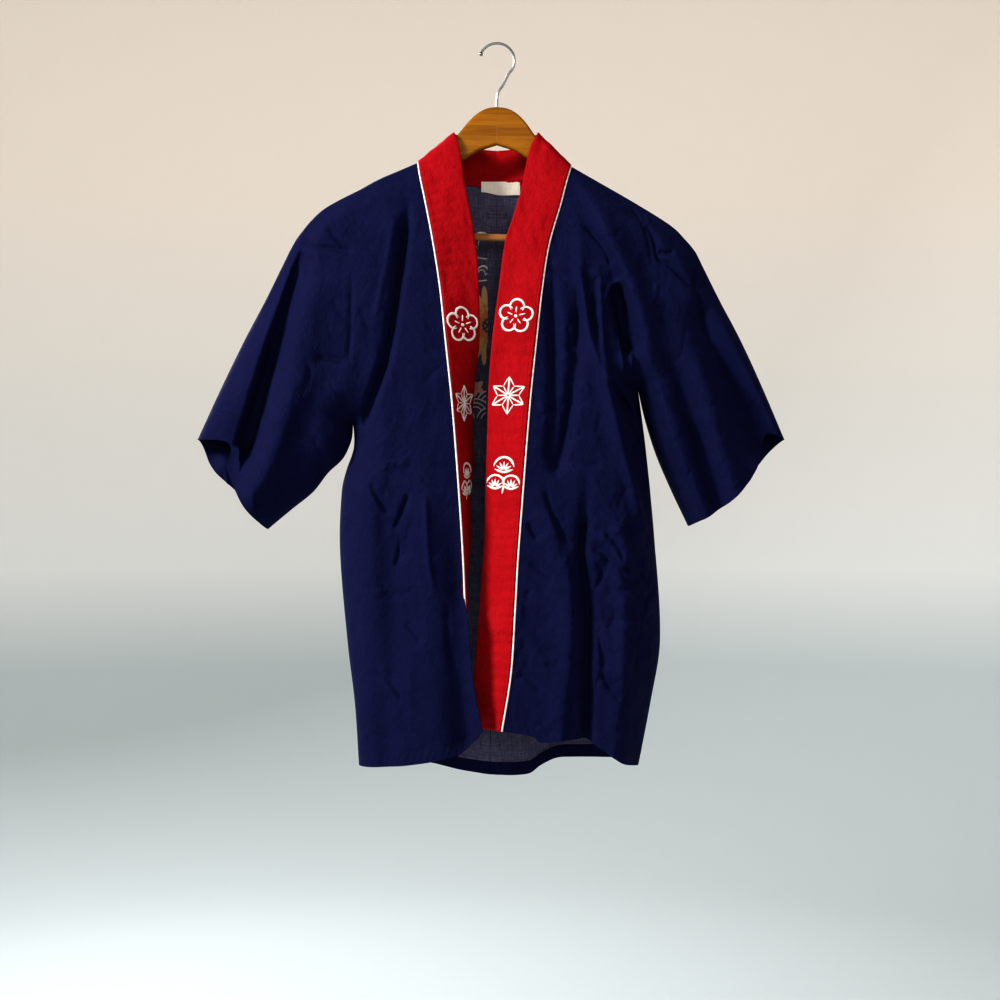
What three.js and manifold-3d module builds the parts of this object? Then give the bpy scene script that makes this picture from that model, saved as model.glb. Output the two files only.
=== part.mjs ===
// Happi coat (short kimono jacket) on a wooden hanger, millimetres, +Z up, front faces -Y.
// Origin: underside of the hook crown, where the rail bears.
import * as THREE from 'three';
import Module from 'manifold-3d';

const wasm = await Module();
wasm.setup();
const { Manifold, CrossSection, Mesh } = wasm;

// ---------------------------------------------------------------- driving sizes
const CLOTH = 1.4;            // wall of the cotton panels
const BAND = 2.6;             // doubled collar band
const GAP = 0.3;              // space between two sewn pieces
const ARM_GAP = 0.45;         // body edge and sleeve edge each stand this far off the armhole line
const PIPING_R = 1.4;         // corded edge between collar and panel
const PIPING_STEP = 1.9;      // piping centre line to each cloth edge
const PLANK_HALF = 5.4;       // half thickness of the hanger wood
const PLANK_DROP = 2.7;       // hanger crest under the outer face of the shoulder cloth
const WIRE_R = 1.5;           // hook wire
const HOOK_R = 22.4;          // hook arc, centre line
const BAR_R = 4.6;            // trouser bar
const UNDERARM_V = 0.3;       // share of the panel length taken by the armhole
const SEAM_FADE = 24;         // folds die out over this distance from a seam
const LEAST_DEPTH = 7;        // no fold brings the cloth nearer than this to the seam plane
const SLEEVE_DEPTH = 36;      // half depth of the open sleeve
const SLEEVE_ROUND = 44;      // the sleeve rounds off over this distance from its folds
const NECK_SHARE = 0.38;      // share of a back panel's top that is neckline
const FRONT_SHARE = 0.43;     // share of the collar's length on each front
const CENTRE_BACK = { top: -169.5, bottom: -948, lean: 9.6 };

// rows down a panel (share of length) and stations across it
const ROWS = [0, 0.003, 0.01, 0.024, 0.046, 0.07, 0.095, 0.12, 0.145, 0.17, 0.195, 0.22, 0.246, 0.272, 0.3,
  0.333, 0.368, 0.405, 0.445, 0.488, 0.535, 0.585, 0.64, 0.7, 0.76, 0.82, 0.88, 0.94, 1];
const ACROSS = 16;
const ACROSS_POWER = 1.3;     // stations crowd toward the side seam
const SLEEVE_ALONG = 15;
const SLEEVE_HALF_ROUND = 18;

// ---------------------------------------------------------------- section tables
// depth of the front and back cloth by height: z, front, back, roundness radius, spread
const DEPTH = [
  [-980, 46, 88, 30, 58],
  [-921, 48, 86, 30, 58],
  [-800, 57, 78, 30, 56],
  [-657, 55, 68, 30, 54],
  [-462, 45, 54, 24, 46],
  [-376, 38, 46, 16, 40],
  [-319, 33, 41, 11, 34],
  [-261, 27, 36, 8, 30],
  [-207, 20, 31, 8, 26],
  [-176, 13, 29, 8, 24],
  [-157, 8, 27, 8, 24],
  [-100, 8, 26, 8, 24],
];
const [LOWEST, HIGHEST] = [DEPTH[0][0], DEPTH[DEPTH.length - 1][0]];

// left = wearer's left = +X. Each row: share of length, x, z; the collar's free edge has x, y, z.
// The cuffs run from the underarm (0) to the sleeve top (1), the hems from the front or centre back outward.
const LEFT = {
  sign: 1,
  seam: [[0, 94.7, -156.8], [0.03, 89, -176.2], [0.08, 81.1, -206.8], [0.16, 65.7, -261.2],
    [0.24, 56.7, -318.9], [0.3, 50.3, -375.9], [0.42, 41.4, -461.7], [0.58, 32.5, -574.3],
    [0.7, 26.2, -657.7], [0.78, 23, -714.8], [0.9, 17.5, -799.4], [1, 6.3, -871.3]],
  shoulder: [[0, 94.7, -156.8], [0.18, 124, -173.4], [0.46, 169, -199], [0.73, 212, -225],
    [0.84, 229, -237.4], [0.9, 239, -248], [0.96, 248, -258], [1, 254.7, -267]],
  armhole: [[0, 254.7, -267], [0.27, 247, -297], [0.53, 232, -345], [0.8, 208, -398], [1, 180.5, -442]],
  side: [[0, 180.5, -442], [0.17, 190.7, -521.6], [0.4, 201, -629], [0.69, 208.6, -762],
    [0.86, 196, -843], [1, 181, -921]],
  sleeveTop: [[0, 254.7, -267], [0.25, 284.2, -327], [0.5, 311, -378.2], [0.75, 339.2, -439.7],
    [1, 367.4, -506.2]],
  sleeveUnder: [[0, 180.5, -442], [0.25, 189.4, -480.6], [0.5, 203.5, -525.4],
    [0.75, 222.7, -570.2], [1, 244.5, -616.3]],
  cuffFront: [[0, 244.5, -616.3], [0.3, 285.4, -591], [0.55, 316, -561], [0.7, 330, -537],
    [0.8, 336, -518], [0.88, 344, -499], [1, 367.4, -506.2]],
  cuffBack: [[0, 244.5, -616.3], [0.3, 285.4, -591.5], [0.55, 316.2, -563], [0.75, 336, -540],
    [1, 367.4, -506.2]],
  hemFront: [[0, 6.3, -871.3], [0.21, 45, -878.5], [0.27, 53.7, -885], [0.45, 86, -882],
    [0.59, 110, -882], [0.7, 128, -893], [0.8, 147, -906], [0.9, 162, -915], [1, 181, -921]],
  hemBack: [[0, -9.6, -948], [0.19, 25, -950], [0.28, 44, -948], [0.36, 58, -938],
    [0.46, 78, -930], [0.6, 104, -927], [0.8, 147, -921], [1, 181, -921]],
  free: [[0, 51.2, 0, -113.3], [0.008, 50, -8.6, -118.5], [0.018, 43.5, -10.5, -131],
    [0.03, 38.2, -11, -150], [0.08, 30.5, -15, -189.5], [0.14, 19, -20, -228], [0.18, 10.2, -22, -256],
    [0.24, 3, -25, -310], [0.3, -5, -29, -372], [0.38, -10, -29, -432], [0.46, -11.8, -28, -489],
    [0.56, -13.8, -26, -558], [0.66, -15.5, -26, -632], [0.73, -19, -25, -684], [0.81, -23, -24, -738],
    [0.9, -28, -22, -798], [0.95, -29, -18, -836], [1, -22.7, -8, -873]],
};

const RIGHT = {
  sign: -1,
  seam: [[0, -101.1, -151.7], [0.03, -97.9, -171.1], [0.08, -91.2, -203], [0.16, -80.7, -257.4],
    [0.24, -71.6, -316.3], [0.3, -65.2, -376], [0.42, -56.1, -461.9], [0.58, -47.2, -574.3],
    [0.7, -42.1, -657.5], [0.78, -39.6, -714.5], [0.9, -33.4, -798.8], [1, -21.1, -870.7]],
  shoulder: [[0, -101.1, -151.7], [0.13, -123, -161], [0.3, -151, -173], [0.45, -175, -186],
    [0.61, -201, -199], [0.75, -223, -212], [0.85, -238, -226], [0.91, -248, -238],
    [0.96, -257, -250], [1, -265, -264.3]],
  armhole: [[0, -265, -264.3], [0.27, -260, -298], [0.53, -245, -353], [0.8, -216.5, -422],
    [1, -184.3, -486]],
  side: [[0, -184.3, -486], [0.04, -182.6, -503], [0.08, -183.8, -520], [0.14, -193, -546],
    [0.2, -198.5, -571], [0.36, -201, -644.5], [0.65, -190.7, -768.6],
    [0.82, -181.8, -842.9], [1, -176.6, -921]],
  sleeveTop: [[0, -265, -264.3], [0.25, -295.7, -327], [0.5, -323.8, -380.8],
    [0.75, -354.6, -444.8], [1, -382.7, -506.2]],
  sleeveUnder: [[0, -184.3, -486], [0.12, -186.5, -507], [0.22, -196.5, -529], [0.4, -216, -548],
    [0.6, -235.5, -572.8], [0.8, -262.4, -594.6], [1, -293.1, -620.2]],
  cuffFront: [[0, -293.1, -620.2], [0.25, -318, -590], [0.45, -334, -558], [0.56, -339, -540],
    [0.68, -334, -519], [0.8, -343, -509], [1, -382.7, -506.2]],
  cuffBack: [[0, -293.1, -620.2], [0.25, -320, -591], [0.5, -346.9, -564], [0.78, -372.5, -537],
    [1, -382.7, -506.2]],
  hemFront: [[0, -21.1, -870.7], [0.06, -29.8, -886], [0.14, -42.3, -898.5], [0.23, -57.2, -904],
    [0.48, -96, -912], [0.75, -138, -918], [1, -176.6, -921]],
  hemBack: [[0, -9.6, -948], [0.2, -45, -944], [0.42, -84, -937], [0.7, -126, -929], [1, -176.6, -921]],
  free: [[0, -53.8, 0, -113.7], [0.008, -52.5, -8.6, -118.5], [0.018, -48.5, -10.5, -132],
    [0.03, -45, -11, -151.4], [0.06, -42, -12, -176], [0.1, -36.8, -15, -203],
    [0.16, -28.6, -18, -249], [0.2, -25, -18, -282],
    [0.25, -22.8, -17, -331], [0.31, -23, -10, -381], [0.36, -27, -3, -412],
    [0.44, -33, 3, -478], [0.52, -31, 3, -531], [0.6, -34.6, 0, -585],
    [0.7, -37, -2, -660], [0.8, -45, -4, -733], [0.9, -49, -6, -800], [1, -41, -2, -868]],
};

// back neckline, centre back (0) to neck point (1): share, x, y, z of the seam, x, y, z of the free edge
const NECK_BACK = [
  [0, 0, 28.5, -169.5, 0, 55, -123],
  [0.3, 29, 27.5, -168.5, 19, 51, -121.5],
  [0.6, 58, 22, -165, 36, 37, -117],
  [0.84, 83, 13, -160, 46, 17, -113.7],
  [0.95, 92.3, 8.4, -157.6, 50.4, 9, -113.6],
];

// folds: depth (+ out of the cloth), share of it where the path starts, width toward -x and toward +x,
// path as x, z, x, z ...
const FRONT_FOLDS = [
  { name: 'right sleeve strip valley', depth: -36, grow: 0.6, low: 9, high: 22,
    path: [-250, -256, -266, -310, -280, -368, -311, -468, -328, -512] },
  { name: 'right sleeve roll', depth: 14, grow: 1, low: 24, high: 26,
    path: [-226, -280, -254, -430, -300, -590] },
  { name: 'right drag valley', depth: -26, grow: 1, low: 15, high: 9,
    path: [-106, -198, -119, -262, -132, -332, -148, -400, -178, -490] },
  { name: 'right shoulder roll', depth: 12, grow: 1, low: 20, high: 16,
    path: [-128, -200, -158, -310, -190, -440] },
  { name: 'right sleeve lower valley', depth: -9, grow: 0.6, low: 16, high: 16,
    path: [-216, -440, -250, -540, -276, -602] },
  { name: 'right panel ridge', depth: 16, grow: 0.8, low: 24, high: 18,
    path: [-96, -500, -86, -680, -88, -922] },
  { name: 'right panel valley', depth: -16, grow: 0.8, low: 22, high: 22,
    path: [-142, -540, -134, -720, -138, -922] },
  { name: 'right centre edge turn', depth: -14, grow: 0.6, low: 18, high: 16,
    path: [-58, -470, -50, -640, -40, -880] },
  { name: 'left sleeve strip valley', depth: -32, grow: 0.5, low: 24, high: 9,
    path: [256, -312, 284, -391, 341, -497] },
  { name: 'left neck to sleeve ridge', depth: 17, grow: 1, low: 13, high: 20,
    path: [106, -170, 147, -250, 172, -314, 186, -370, 200, -470, 238, -590] },
  { name: 'left underarm recess', depth: -27, grow: 1, low: 14, high: 13,
    path: [146, -300, 152, -375, 160, -440] },
  { name: 'left armpit ridge', depth: 16, grow: 1, low: 12, high: 14,
    path: [100, -230, 110, -327, 130, -417, 158, -506, 178, -600] },
  { name: 'left armpit valley', depth: -14, grow: 1, low: 10, high: 10,
    path: [122, -240, 132, -320, 148, -400, 172, -470] },
  { name: 'left panel crease', depth: -9, grow: 1, low: 11, high: 14,
    path: [65, -314, 70, -481, 61, -557, 81, -609, 90, -711] },
  { name: 'left hem valley', depth: -40, grow: 0.4, low: 18, high: 16,
    path: [112, -540, 124, -700, 121, -925] },
  { name: 'left side ridge', depth: 15, grow: 0.8, low: 16, high: 20,
    path: [152, -590, 163, -750, 152, -925] },
  { name: 'left centre ridge', depth: 12, grow: 0.8, low: 18, high: 18,
    path: [72, -640, 84, -760, 84, -900] },
  { name: 'left sleeve valley', depth: -14, grow: 0.8, low: 13, high: 13,
    path: [214, -420, 236, -520, 266, -606] },
  { name: 'left sleeve roll', depth: 13, grow: 0.8, low: 15, high: 17,
    path: [240, -360, 272, -480, 304, -590] },
];

const BACK_FOLDS = [
  { name: 'centre back hollow', depth: -9, grow: 0.6, low: 34, high: 34,
    path: [0, -300, -3, -620, -8, -950] },
  { name: 'left blade ridge', depth: 12, grow: 1, low: 26, high: 26,
    path: [96, -210, 92, -520, 84, -945] },
  { name: 'right blade ridge', depth: 12, grow: 1, low: 26, high: 26,
    path: [-100, -205, -90, -540, -88, -940] },
  { name: 'left side valley', depth: -18, grow: 0.8, low: 22, high: 20,
    path: [150, -330, 140, -620, 136, -925] },
  { name: 'right side valley', depth: -15, grow: 0.8, low: 20, high: 24,
    path: [-152, -320, -138, -640, -132, -925] },
  { name: 'left drag ridge', depth: 11, grow: 1, low: 18, high: 20,
    path: [150, -220, 186, -350, 204, -460, 244, -590] },
  { name: 'right drag ridge', depth: 11, grow: 1, low: 20, high: 18,
    path: [-150, -210, -190, -350, -214, -470, -262, -580] },
  { name: 'left sleeve valley', depth: -19, grow: 0.5, low: 22, high: 15,
    path: [250, -330, 288, -430, 326, -530] },
  { name: 'right sleeve valley', depth: -17, grow: 0.5, low: 15, high: 24,
    path: [-262, -330, -306, -440, -352, -540] },
];

// hanger arms, x and z: crest from the centre joint outward, end, underside back to the joint
const CROWN = -80.6;
const HANGER_LEFT = {
  crest: [[0, CROWN], [12, -82.2], [24, -88], [36, -99.5], [51, -120], [72, -143], [89, -163], [98, -169]],
  end: [[214, -229.5], [223, -237], [225.5, -250], [219, -263]],
  under: [[205, -265.5], [150, -233], [95, -196], [60, -164], [45, -150.5], [24, -137], [0, -128.6]],
};
const HANGER_RIGHT = {
  crest: [[0, CROWN], [12, -82.2], [24, -88], [37, -99.5], [54, -120], [76, -140.5], [96, -160],
    [103, -163.5]],
  end: [[221, -215.5], [230, -224], [232, -237], [226, -250]],
  under: [[210, -253.5], [155, -222], [99, -191], [62, -163], [46, -150.5], [24, -137], [0, -128.6]],
};
const BAR_ENDS = [[-216, -240.6], [210, -253.6]];
const STEM_DEPTH = 24;        // hook wire inside the wood
const HOOK_STEM = [[8, -51.5], [2.2, -60], [0.3, -68], [0, -80], [0, CROWN - STEM_DEPTH]];
const LABEL = { left: -20.5, right: 30, top: -171.8, bottom: -187.5, thick: 0.6, standOff: 0.7 };

// ---------------------------------------------------------------- curve tools
const mix = (a, b, t) => a + (b - a) * t;
const clamp = (v, a, b) => Math.min(b, Math.max(a, v));
const ease = (t) => {
  const c = clamp(t, 0, 1);
  return c * c * (3 - 2 * c);
};

// smooth curve through table rows; the first column is the parameter
function along(rows, t) {
  const last = rows.length - 1;
  let i = 0;
  while (i < last - 1 && t > rows[i + 1][0]) i += 1;
  const [p1, p2] = [rows[i], rows[i + 1]];
  const p0 = rows[Math.max(i - 1, 0)];
  const p3 = rows[Math.min(i + 2, last)];
  const span = p2[0] - p1[0];
  const s = clamp((t - p1[0]) / span, 0, 1);
  return p1.slice(1).map((value, k) => {
    const c = k + 1;
    const m1 = ((p2[c] - p0[c]) / Math.max(p2[0] - p0[0], 1e-9)) * span;
    const m2 = ((p3[c] - p1[c]) / Math.max(p3[0] - p1[0], 1e-9)) * span;
    return value * (1 + 2 * s) * (1 - s) ** 2 + m1 * s * (1 - s) ** 2
      + p2[c] * s * s * (3 - 2 * s) + m2 * s * s * (s - 1);
  });
}

// distance from x, z to a polyline, with the side and the share of its length
function nearest(line, x, z) {
  let best = { d: 1e9, side: 0, share: 0 };
  const count = line.length - 1;
  for (let i = 0; i < count; i += 1) {
    const [ax, az] = line[i];
    const [bx, bz] = line[i + 1];
    const len2 = (bx - ax) ** 2 + (bz - az) ** 2;
    const t = clamp(((x - ax) * (bx - ax) + (z - az) * (bz - az)) / len2, 0, 1);
    const dx = x - mix(ax, bx, t);
    const d = Math.hypot(dx, z - mix(az, bz, t));
    if (d < best.d) best = { d, side: Math.sign(dx), share: (i + t) / count };
  }
  return best;
}

const pairs = (flat) => Array.from({ length: flat.length / 2 }, (_, i) => [flat[2 * i], flat[2 * i + 1]]);
const sampled = (rows, n) => Array.from({ length: n + 1 }, (_, i) => along(rows, i / n));

function prepared(folds) {
  return folds.map((fold) => {
    const pts = pairs(fold.path);
    const rows = pts.map((p, i) => [i / (pts.length - 1), ...p]);
    return { ...fold, line: sampled(rows, 12) };
  });
}
const FRONT = prepared(FRONT_FOLDS);
const BACK = prepared(BACK_FOLDS);

// sum of soft ridges and valleys at x, z
function folded(folds, x, z) {
  let sum = 0;
  for (const fold of folds) {
    const near = nearest(fold.line, x, z);
    const width = near.side < 0 ? fold.low : fold.high;
    const q = near.d / width;
    if (q < 2.2) {
      const start = ease(near.share / 0.22);
      sum += fold.depth * mix(fold.grow, 1, near.share) * mix(0.15, 1, start) * Math.exp(-q * q);
    }
  }
  return sum;
}

// ---------------------------------------------------------------- the garment's two cloth faces
for (const part of [LEFT, RIGHT]) {
  part.outline = [
    [...sampled(part.shoulder, 24), ...sampled(part.sleeveTop, 16).slice(1)],
    [...sampled(part.sleeveUnder, 16).reverse(), ...sampled(part.side, 20).slice(1)],
  ];
}

function toSeam(part, x, z) {
  return Math.min(...part.outline.map((line) => nearest(line, x, z).d));
}

// distance of the cloth from the seam plane, front or back, at x, z
const upward = (z) => (z - LOWEST) / (HIGHEST - LOWEST);
const DEPTH_UP = DEPTH.map(([z, ...rest]) => [upward(z), ...rest]);
function depthAt(part, face, x, z, sleeve = 0) {
  const d = toSeam(part, x, z);
  const [front, back, round, spread] = along(DEPTH_UP, upward(z));
  const full = face === 'front' ? front : back;
  const radius = Math.min(round, full);
  const turn = radius * Math.sqrt(Math.max(0, 1 - (1 - Math.min(1, d / radius)) ** 2));
  const body = turn + (full - radius) * ease(d / spread);
  const tube = SLEEVE_DEPTH * Math.sqrt(Math.max(0, 1 - (1 - Math.min(1, d / SLEEVE_ROUND)) ** 2));
  const fold = folded(face === 'front' ? FRONT : BACK, x, z) * ease(d / SEAM_FADE);
  const lowest = Math.min(turn, LEAST_DEPTH + 0.1 * d);
  return Math.max(lowest, mix(body, tube, ease(sleeve)) + fold);
}

const place = (part, face, x, z, sleeve, onSeam) => {
  const half = GAP / 2;
  const y = onSeam ? half : Math.max(half, depthAt(part, face, x, z, sleeve));
  return new THREE.Vector3(x, face === 'front' ? -y : y, z);
};

// outer edge of a panel: armhole, then side seam
function outerEdge(part, v) {
  if (v < UNDERARM_V) return along(part.armhole, v / UNDERARM_V);
  return along(part.side, (v - UNDERARM_V) / (1 - UNDERARM_V));
}

// flat outline of a panel filled by blending its four edges
function blend(inner, outer, top, hem, u, v) {
  const [i, o] = [inner(v), outer(v)];
  const [i0, o0, i1, o1] = [inner(0), outer(0), inner(1), outer(1)];
  const [t, h] = [top(u), hem(u)];
  return [0, 1].map((k) => mix(i[k], o[k], u)
    + (t[k] - mix(i0[k], o0[k], u)) * (1 - v) ** 3
    + (h[k] - mix(i1[k], o1[k], u)) * v ** 3);
}

const seamEdge = (part) => (v) => {
  const [x, z] = along(part.seam, v);
  return [x + part.sign * PIPING_STEP, z];
};

const insetSide = (part) => (v) => {
  const [x, z] = outerEdge(part, v);
  return [v < UNDERARM_V ? x - part.sign * ARM_GAP : x, z];
};

function frontPoint(part, u, v) {
  const top = (s) => {
    const [x, z] = along(part.shoulder, s);
    return [x + part.sign * PIPING_STEP * (1 - s), z];
  };
  const hem = (s) => {
    const [x, z] = along(part.hemFront, s);
    return [x + part.sign * PIPING_STEP * (1 - s), z];
  };
  const [x, z] = blend(seamEdge(part), insetSide(part), top, hem, u, v);
  const onSeam = v === 0 || (u === 1 && v >= UNDERARM_V);
  return place(part, 'front', x, z, 0, onSeam);
}

function backTop(part, u) {
  if (u > NECK_SHARE) return along(part.shoulder, (u - NECK_SHARE) / (1 - NECK_SHARE));
  const [x, , z] = along(NECK_ROWS[part.sign], u / NECK_SHARE);
  return [x, z];
}
function neckRows(part) {
  const [[, sx, sz], [, fx, , fz]] = [part.seam[0], part.free[0]];
  const [wide, open] = [sx / LEFT.seam[0][1], fx / LEFT.free[0][1]];
  const rise = sz - LEFT.seam[0][2];
  return [
    ...NECK_BACK.map(([s, x, y, z, ex, ey, ez]) => [s, x * wide, y, z + rise * s, ex * open, ey, ez]),
    [1, sx, 0, sz, fx, 0, fz],
  ];
}
const NECK_ROWS = { [LEFT.sign]: neckRows(LEFT), [RIGHT.sign]: neckRows(RIGHT) };

function backPoint(part, u, v) {
  const { top: neck, bottom, lean } = CENTRE_BACK;
  const centre = (s) => [part.sign * GAP / 2 - lean * s, mix(neck, bottom, s)];
  const top = (s) => {
    const [x, z] = backTop(part, s);
    const besideNeck = clamp((NECK_SHARE + 0.05 - s) / 0.05, 0, 1);
    return [x + part.sign * GAP / 2 * (1 - s), z - (PIPING_STEP + 0.2) * besideNeck];
  };
  const hem = (s) => {
    const [x, z] = along(part.hemBack, s);
    return [x + part.sign * GAP / 2 * (1 - s), z];
  };
  const [x, z] = blend(centre, insetSide(part), top, hem, u, v);
  const onSeam = (v === 0 && u > NECK_SHARE) || (u === 1 && v >= UNDERARM_V);
  return place(part, 'back', x, z, 0, onSeam);
}

// sleeve: a runs armhole to cuff, w runs underarm (0) to top (1) on one face
function sleevePoint(part, face, a, w) {
  const hole = along(part.armhole, 1 - w);
  const cuff = along(face === 'front' ? part.cuffFront : part.cuffBack, w);
  const [over, under] = [along(part.sleeveTop, a), along(part.sleeveUnder, a)];
  const [over0, under0] = [along(part.sleeveTop, 0), along(part.sleeveUnder, 0)];
  const [over1, under1] = [along(part.sleeveTop, 1), along(part.sleeveUnder, 1)];
  const [x, z] = [0, 1].map((k) => mix(hole[k], cuff[k], a)
    + (over[k] - mix(over0[k], over1[k], a)) * w
    + (under[k] - mix(under0[k], under1[k], a)) * (1 - w));
  const start = part.sign * ARM_GAP * (1 - a);
  return place(part, face, x + start, z, a, w === 0 || w === 1);
}

// ---------------------------------------------------------------- solids
function vertexNormals(points, quads) {
  const normals = points.map(() => new THREE.Vector3());
  for (const [a, b, c, d] of quads) {
    const n = new THREE.Vector3().subVectors(points[c], points[a])
      .cross(new THREE.Vector3().subVectors(points[d], points[b]));
    for (const i of [a, b, c, d]) normals[i].add(n);
  }
  return normals.map((n) => n.normalize());
}

// each quad is cut along its shorter diagonal, so folds that cross the grid stay smooth
function meshOf(points, quads) {
  const geometry = new THREE.BufferGeometry();
  const flat = points.flatMap((p) => [p.x, p.y, p.z]);
  geometry.setAttribute('position', new THREE.Float32BufferAttribute(flat, 3));
  geometry.setIndex(quads.flatMap(([a, b, c, d]) => (
    points[a].distanceTo(points[c]) <= points[b].distanceTo(points[d])
      ? [a, b, c, a, c, d] : [b, c, d, b, d, a])));
  return geometry;
}

// wall of constant thickness on an outer grid; `flat` marks grid points whose normal has no y,
// `upright` those whose normal has no x, `guard` keeps the inner face on its own side of the seam plane
const never = () => false;
function wall(columns, rows, outerAt, thickness, options = {}) {
  const { closed = false, flip = false, flat = never, upright = never, guard = null } = options;
  const outer = [];
  const count = closed ? columns : columns + 1;
  for (let j = 0; j <= rows; j += 1) {
    for (let i = 0; i < count; i += 1) outer.push(outerAt(i, j));
  }
  const id = (i, j) => j * count + (i % count);
  const skin = [];
  for (let j = 0; j < rows; j += 1) {
    for (let i = 0; i < columns; i += 1) {
      const quad = [id(i, j), id(i + 1, j), id(i + 1, j + 1), id(i, j + 1)];
      skin.push(flip ? quad.reverse() : quad);
    }
  }
  const normals = vertexNormals(outer, skin);
  const inner = outer.map((p, k) => {
    const n = normals[k].clone();
    if (flat(k % count, Math.floor(k / count))) n.setY(0).normalize();
    if (upright(k % count, Math.floor(k / count))) n.setX(0).normalize();
    const q = p.clone().addScaledVector(n, -thickness);
    if (guard) q.y = guard > 0 ? Math.max(q.y, GAP / 2) : Math.min(q.y, -GAP / 2);
    return q;
  });
  const shift = outer.length;
  const quads = [...skin, ...skin.map((q) => q.map((k) => k + shift).reverse())];
  const rim = (a, b) => {
    const quad = [a, a + shift, b + shift, b];
    quads.push(flip ? quad.reverse() : quad);
  };
  for (let i = 0; i < columns; i += 1) {
    rim(id(i, 0), id(i + 1, 0));
    rim(id(i + 1, rows), id(i, rows));
  }
  if (!closed) {
    for (let j = 0; j < rows; j += 1) {
      rim(id(0, j + 1), id(0, j));
      rim(id(columns, j), id(columns, j + 1));
    }
  }
  return meshOf([...outer, ...inner], quads);
}

const acrossAt = (i) => 1 - (1 - i / ACROSS) ** ACROSS_POWER;

function panel(part, face) {
  const pointAt = face === 'front' ? frontPoint : backPoint;
  const seamRow = (i, j) => (i === ACROSS && ROWS[j] >= UNDERARM_V)
    || (j === 0 && (face === 'front' || acrossAt(i) > NECK_SHARE));
  const flip = (part.sign > 0) !== (face === 'front');
  return wall(ACROSS, ROWS.length - 1, (i, j) => pointAt(part, acrossAt(i), ROWS[j]), CLOTH,
    { flip: !flip, flat: seamRow, upright: (i) => i === 0, guard: face === 'front' ? -1 : 1 });
}

function sleeve(part) {
  const half = SLEEVE_HALF_ROUND;
  const outerAt = (i, j) => {
    const onFront = i <= half;
    const k = onFront ? i : 2 * half - i;
    const w = (1 - Math.cos((Math.PI * k) / half)) / 2;
    const p = sleevePoint(part, onFront ? 'front' : 'back', j / SLEEVE_ALONG, w);
    if (i === 0 || i === half) p.y = 0;
    return p;
  };
  return wall(2 * half, SLEEVE_ALONG, outerAt, CLOTH,
    { closed: true, flip: part.sign > 0, flat: (i) => i === 0 || i === half });
}

// collar seam and free edge from the right hem (0), round the neck, to the left hem (1)
function collarLine(t) {
  const part = t < 0.5 ? RIGHT : LEFT;
  const s = t < 0.5 ? t : 1 - t;
  if (s < FRONT_SHARE) {
    const v = 1 - s / FRONT_SHARE;
    const [x, z] = along(part.seam, v);
    const [fx, fy, fz] = along(part.free, v);
    const y = v < 1e-9 ? 0 : -depthAt(part, 'front', x, z);
    return { seam: new THREE.Vector3(x, y, z), free: new THREE.Vector3(fx, fy, fz) };
  }
  const back = 1 - (s - FRONT_SHARE) / (0.5 - FRONT_SHARE);
  const [x, y, z, fx, fy, fz] = along(NECK_ROWS[part.sign], back);
  return { seam: new THREE.Vector3(x, y, z), free: new THREE.Vector3(fx, fy, fz) };
}

const COLLAR_STEPS = 30;      // even stations from hem to neck, then the close ones over the hanger
const CLOSE = [0.018, 0.008, 0];
const ROUND_NECK = [0.95, 0.84, 0.66, 0.45, 0.22];
function collarStations() {
  const half = [];
  for (let i = 0; i < COLLAR_STEPS; i += 1) half.push((FRONT_SHARE * i) / COLLAR_STEPS);
  for (const v of CLOSE) half.push(FRONT_SHARE * (1 - v));
  for (const back of ROUND_NECK) half.push(mix(0.5, FRONT_SHARE, back));
  return [...half, 0.5, ...half.map((s) => 1 - s).reverse()];
}

function collar() {
  const stations = collarStations();
  return wall(4, stations.length - 1, (i, j) => {
    const { seam, free } = collarLine(stations[j]);
    const reach = free.clone().sub(seam);
    const start = PIPING_STEP / reach.length();
    return seam.clone().addScaledVector(reach, mix(start, 1, i / 4));
  }, BAND, { flip: true });
}

function circle(radius, sides) {
  const shape = new THREE.Shape();
  for (let i = 0; i < sides; i += 1) {
    const angle = (2 * Math.PI * i) / sides;
    const [x, y] = [radius * Math.cos(angle), radius * Math.sin(angle)];
    if (i === 0) shape.moveTo(x, y);
    else shape.lineTo(x, y);
  }
  return shape;
}

function swept(points, radius, sides, steps) {
  const path = new THREE.CatmullRomCurve3(points, false, 'centripetal');
  return new THREE.ExtrudeGeometry(circle(radius, sides), { steps, extrudePath: path, curveSegments: 1 });
}

const piping = () => swept(collarStations().map((t) => collarLine(t).seam), PIPING_R, 6, 80);

// ---------------------------------------------------------------- hanger
function toManifold(geometry) {
  const source = geometry.index ? geometry.toNonIndexed() : geometry;
  const mesh = new Mesh({
    numProp: 3,
    vertProperties: new Float32Array(source.attributes.position.array),
    triVerts: new Uint32Array(source.attributes.position.count).map((_, i) => i),
  });
  mesh.merge();
  return new Manifold(mesh);
}

function toGeometry(manifold) {
  const mesh = manifold.getMesh();
  const geometry = new THREE.BufferGeometry();
  geometry.setAttribute('position', new THREE.BufferAttribute(new Float32Array(mesh.vertProperties), 3));
  geometry.setIndex([...mesh.triVerts]);
  return geometry;
}

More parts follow.
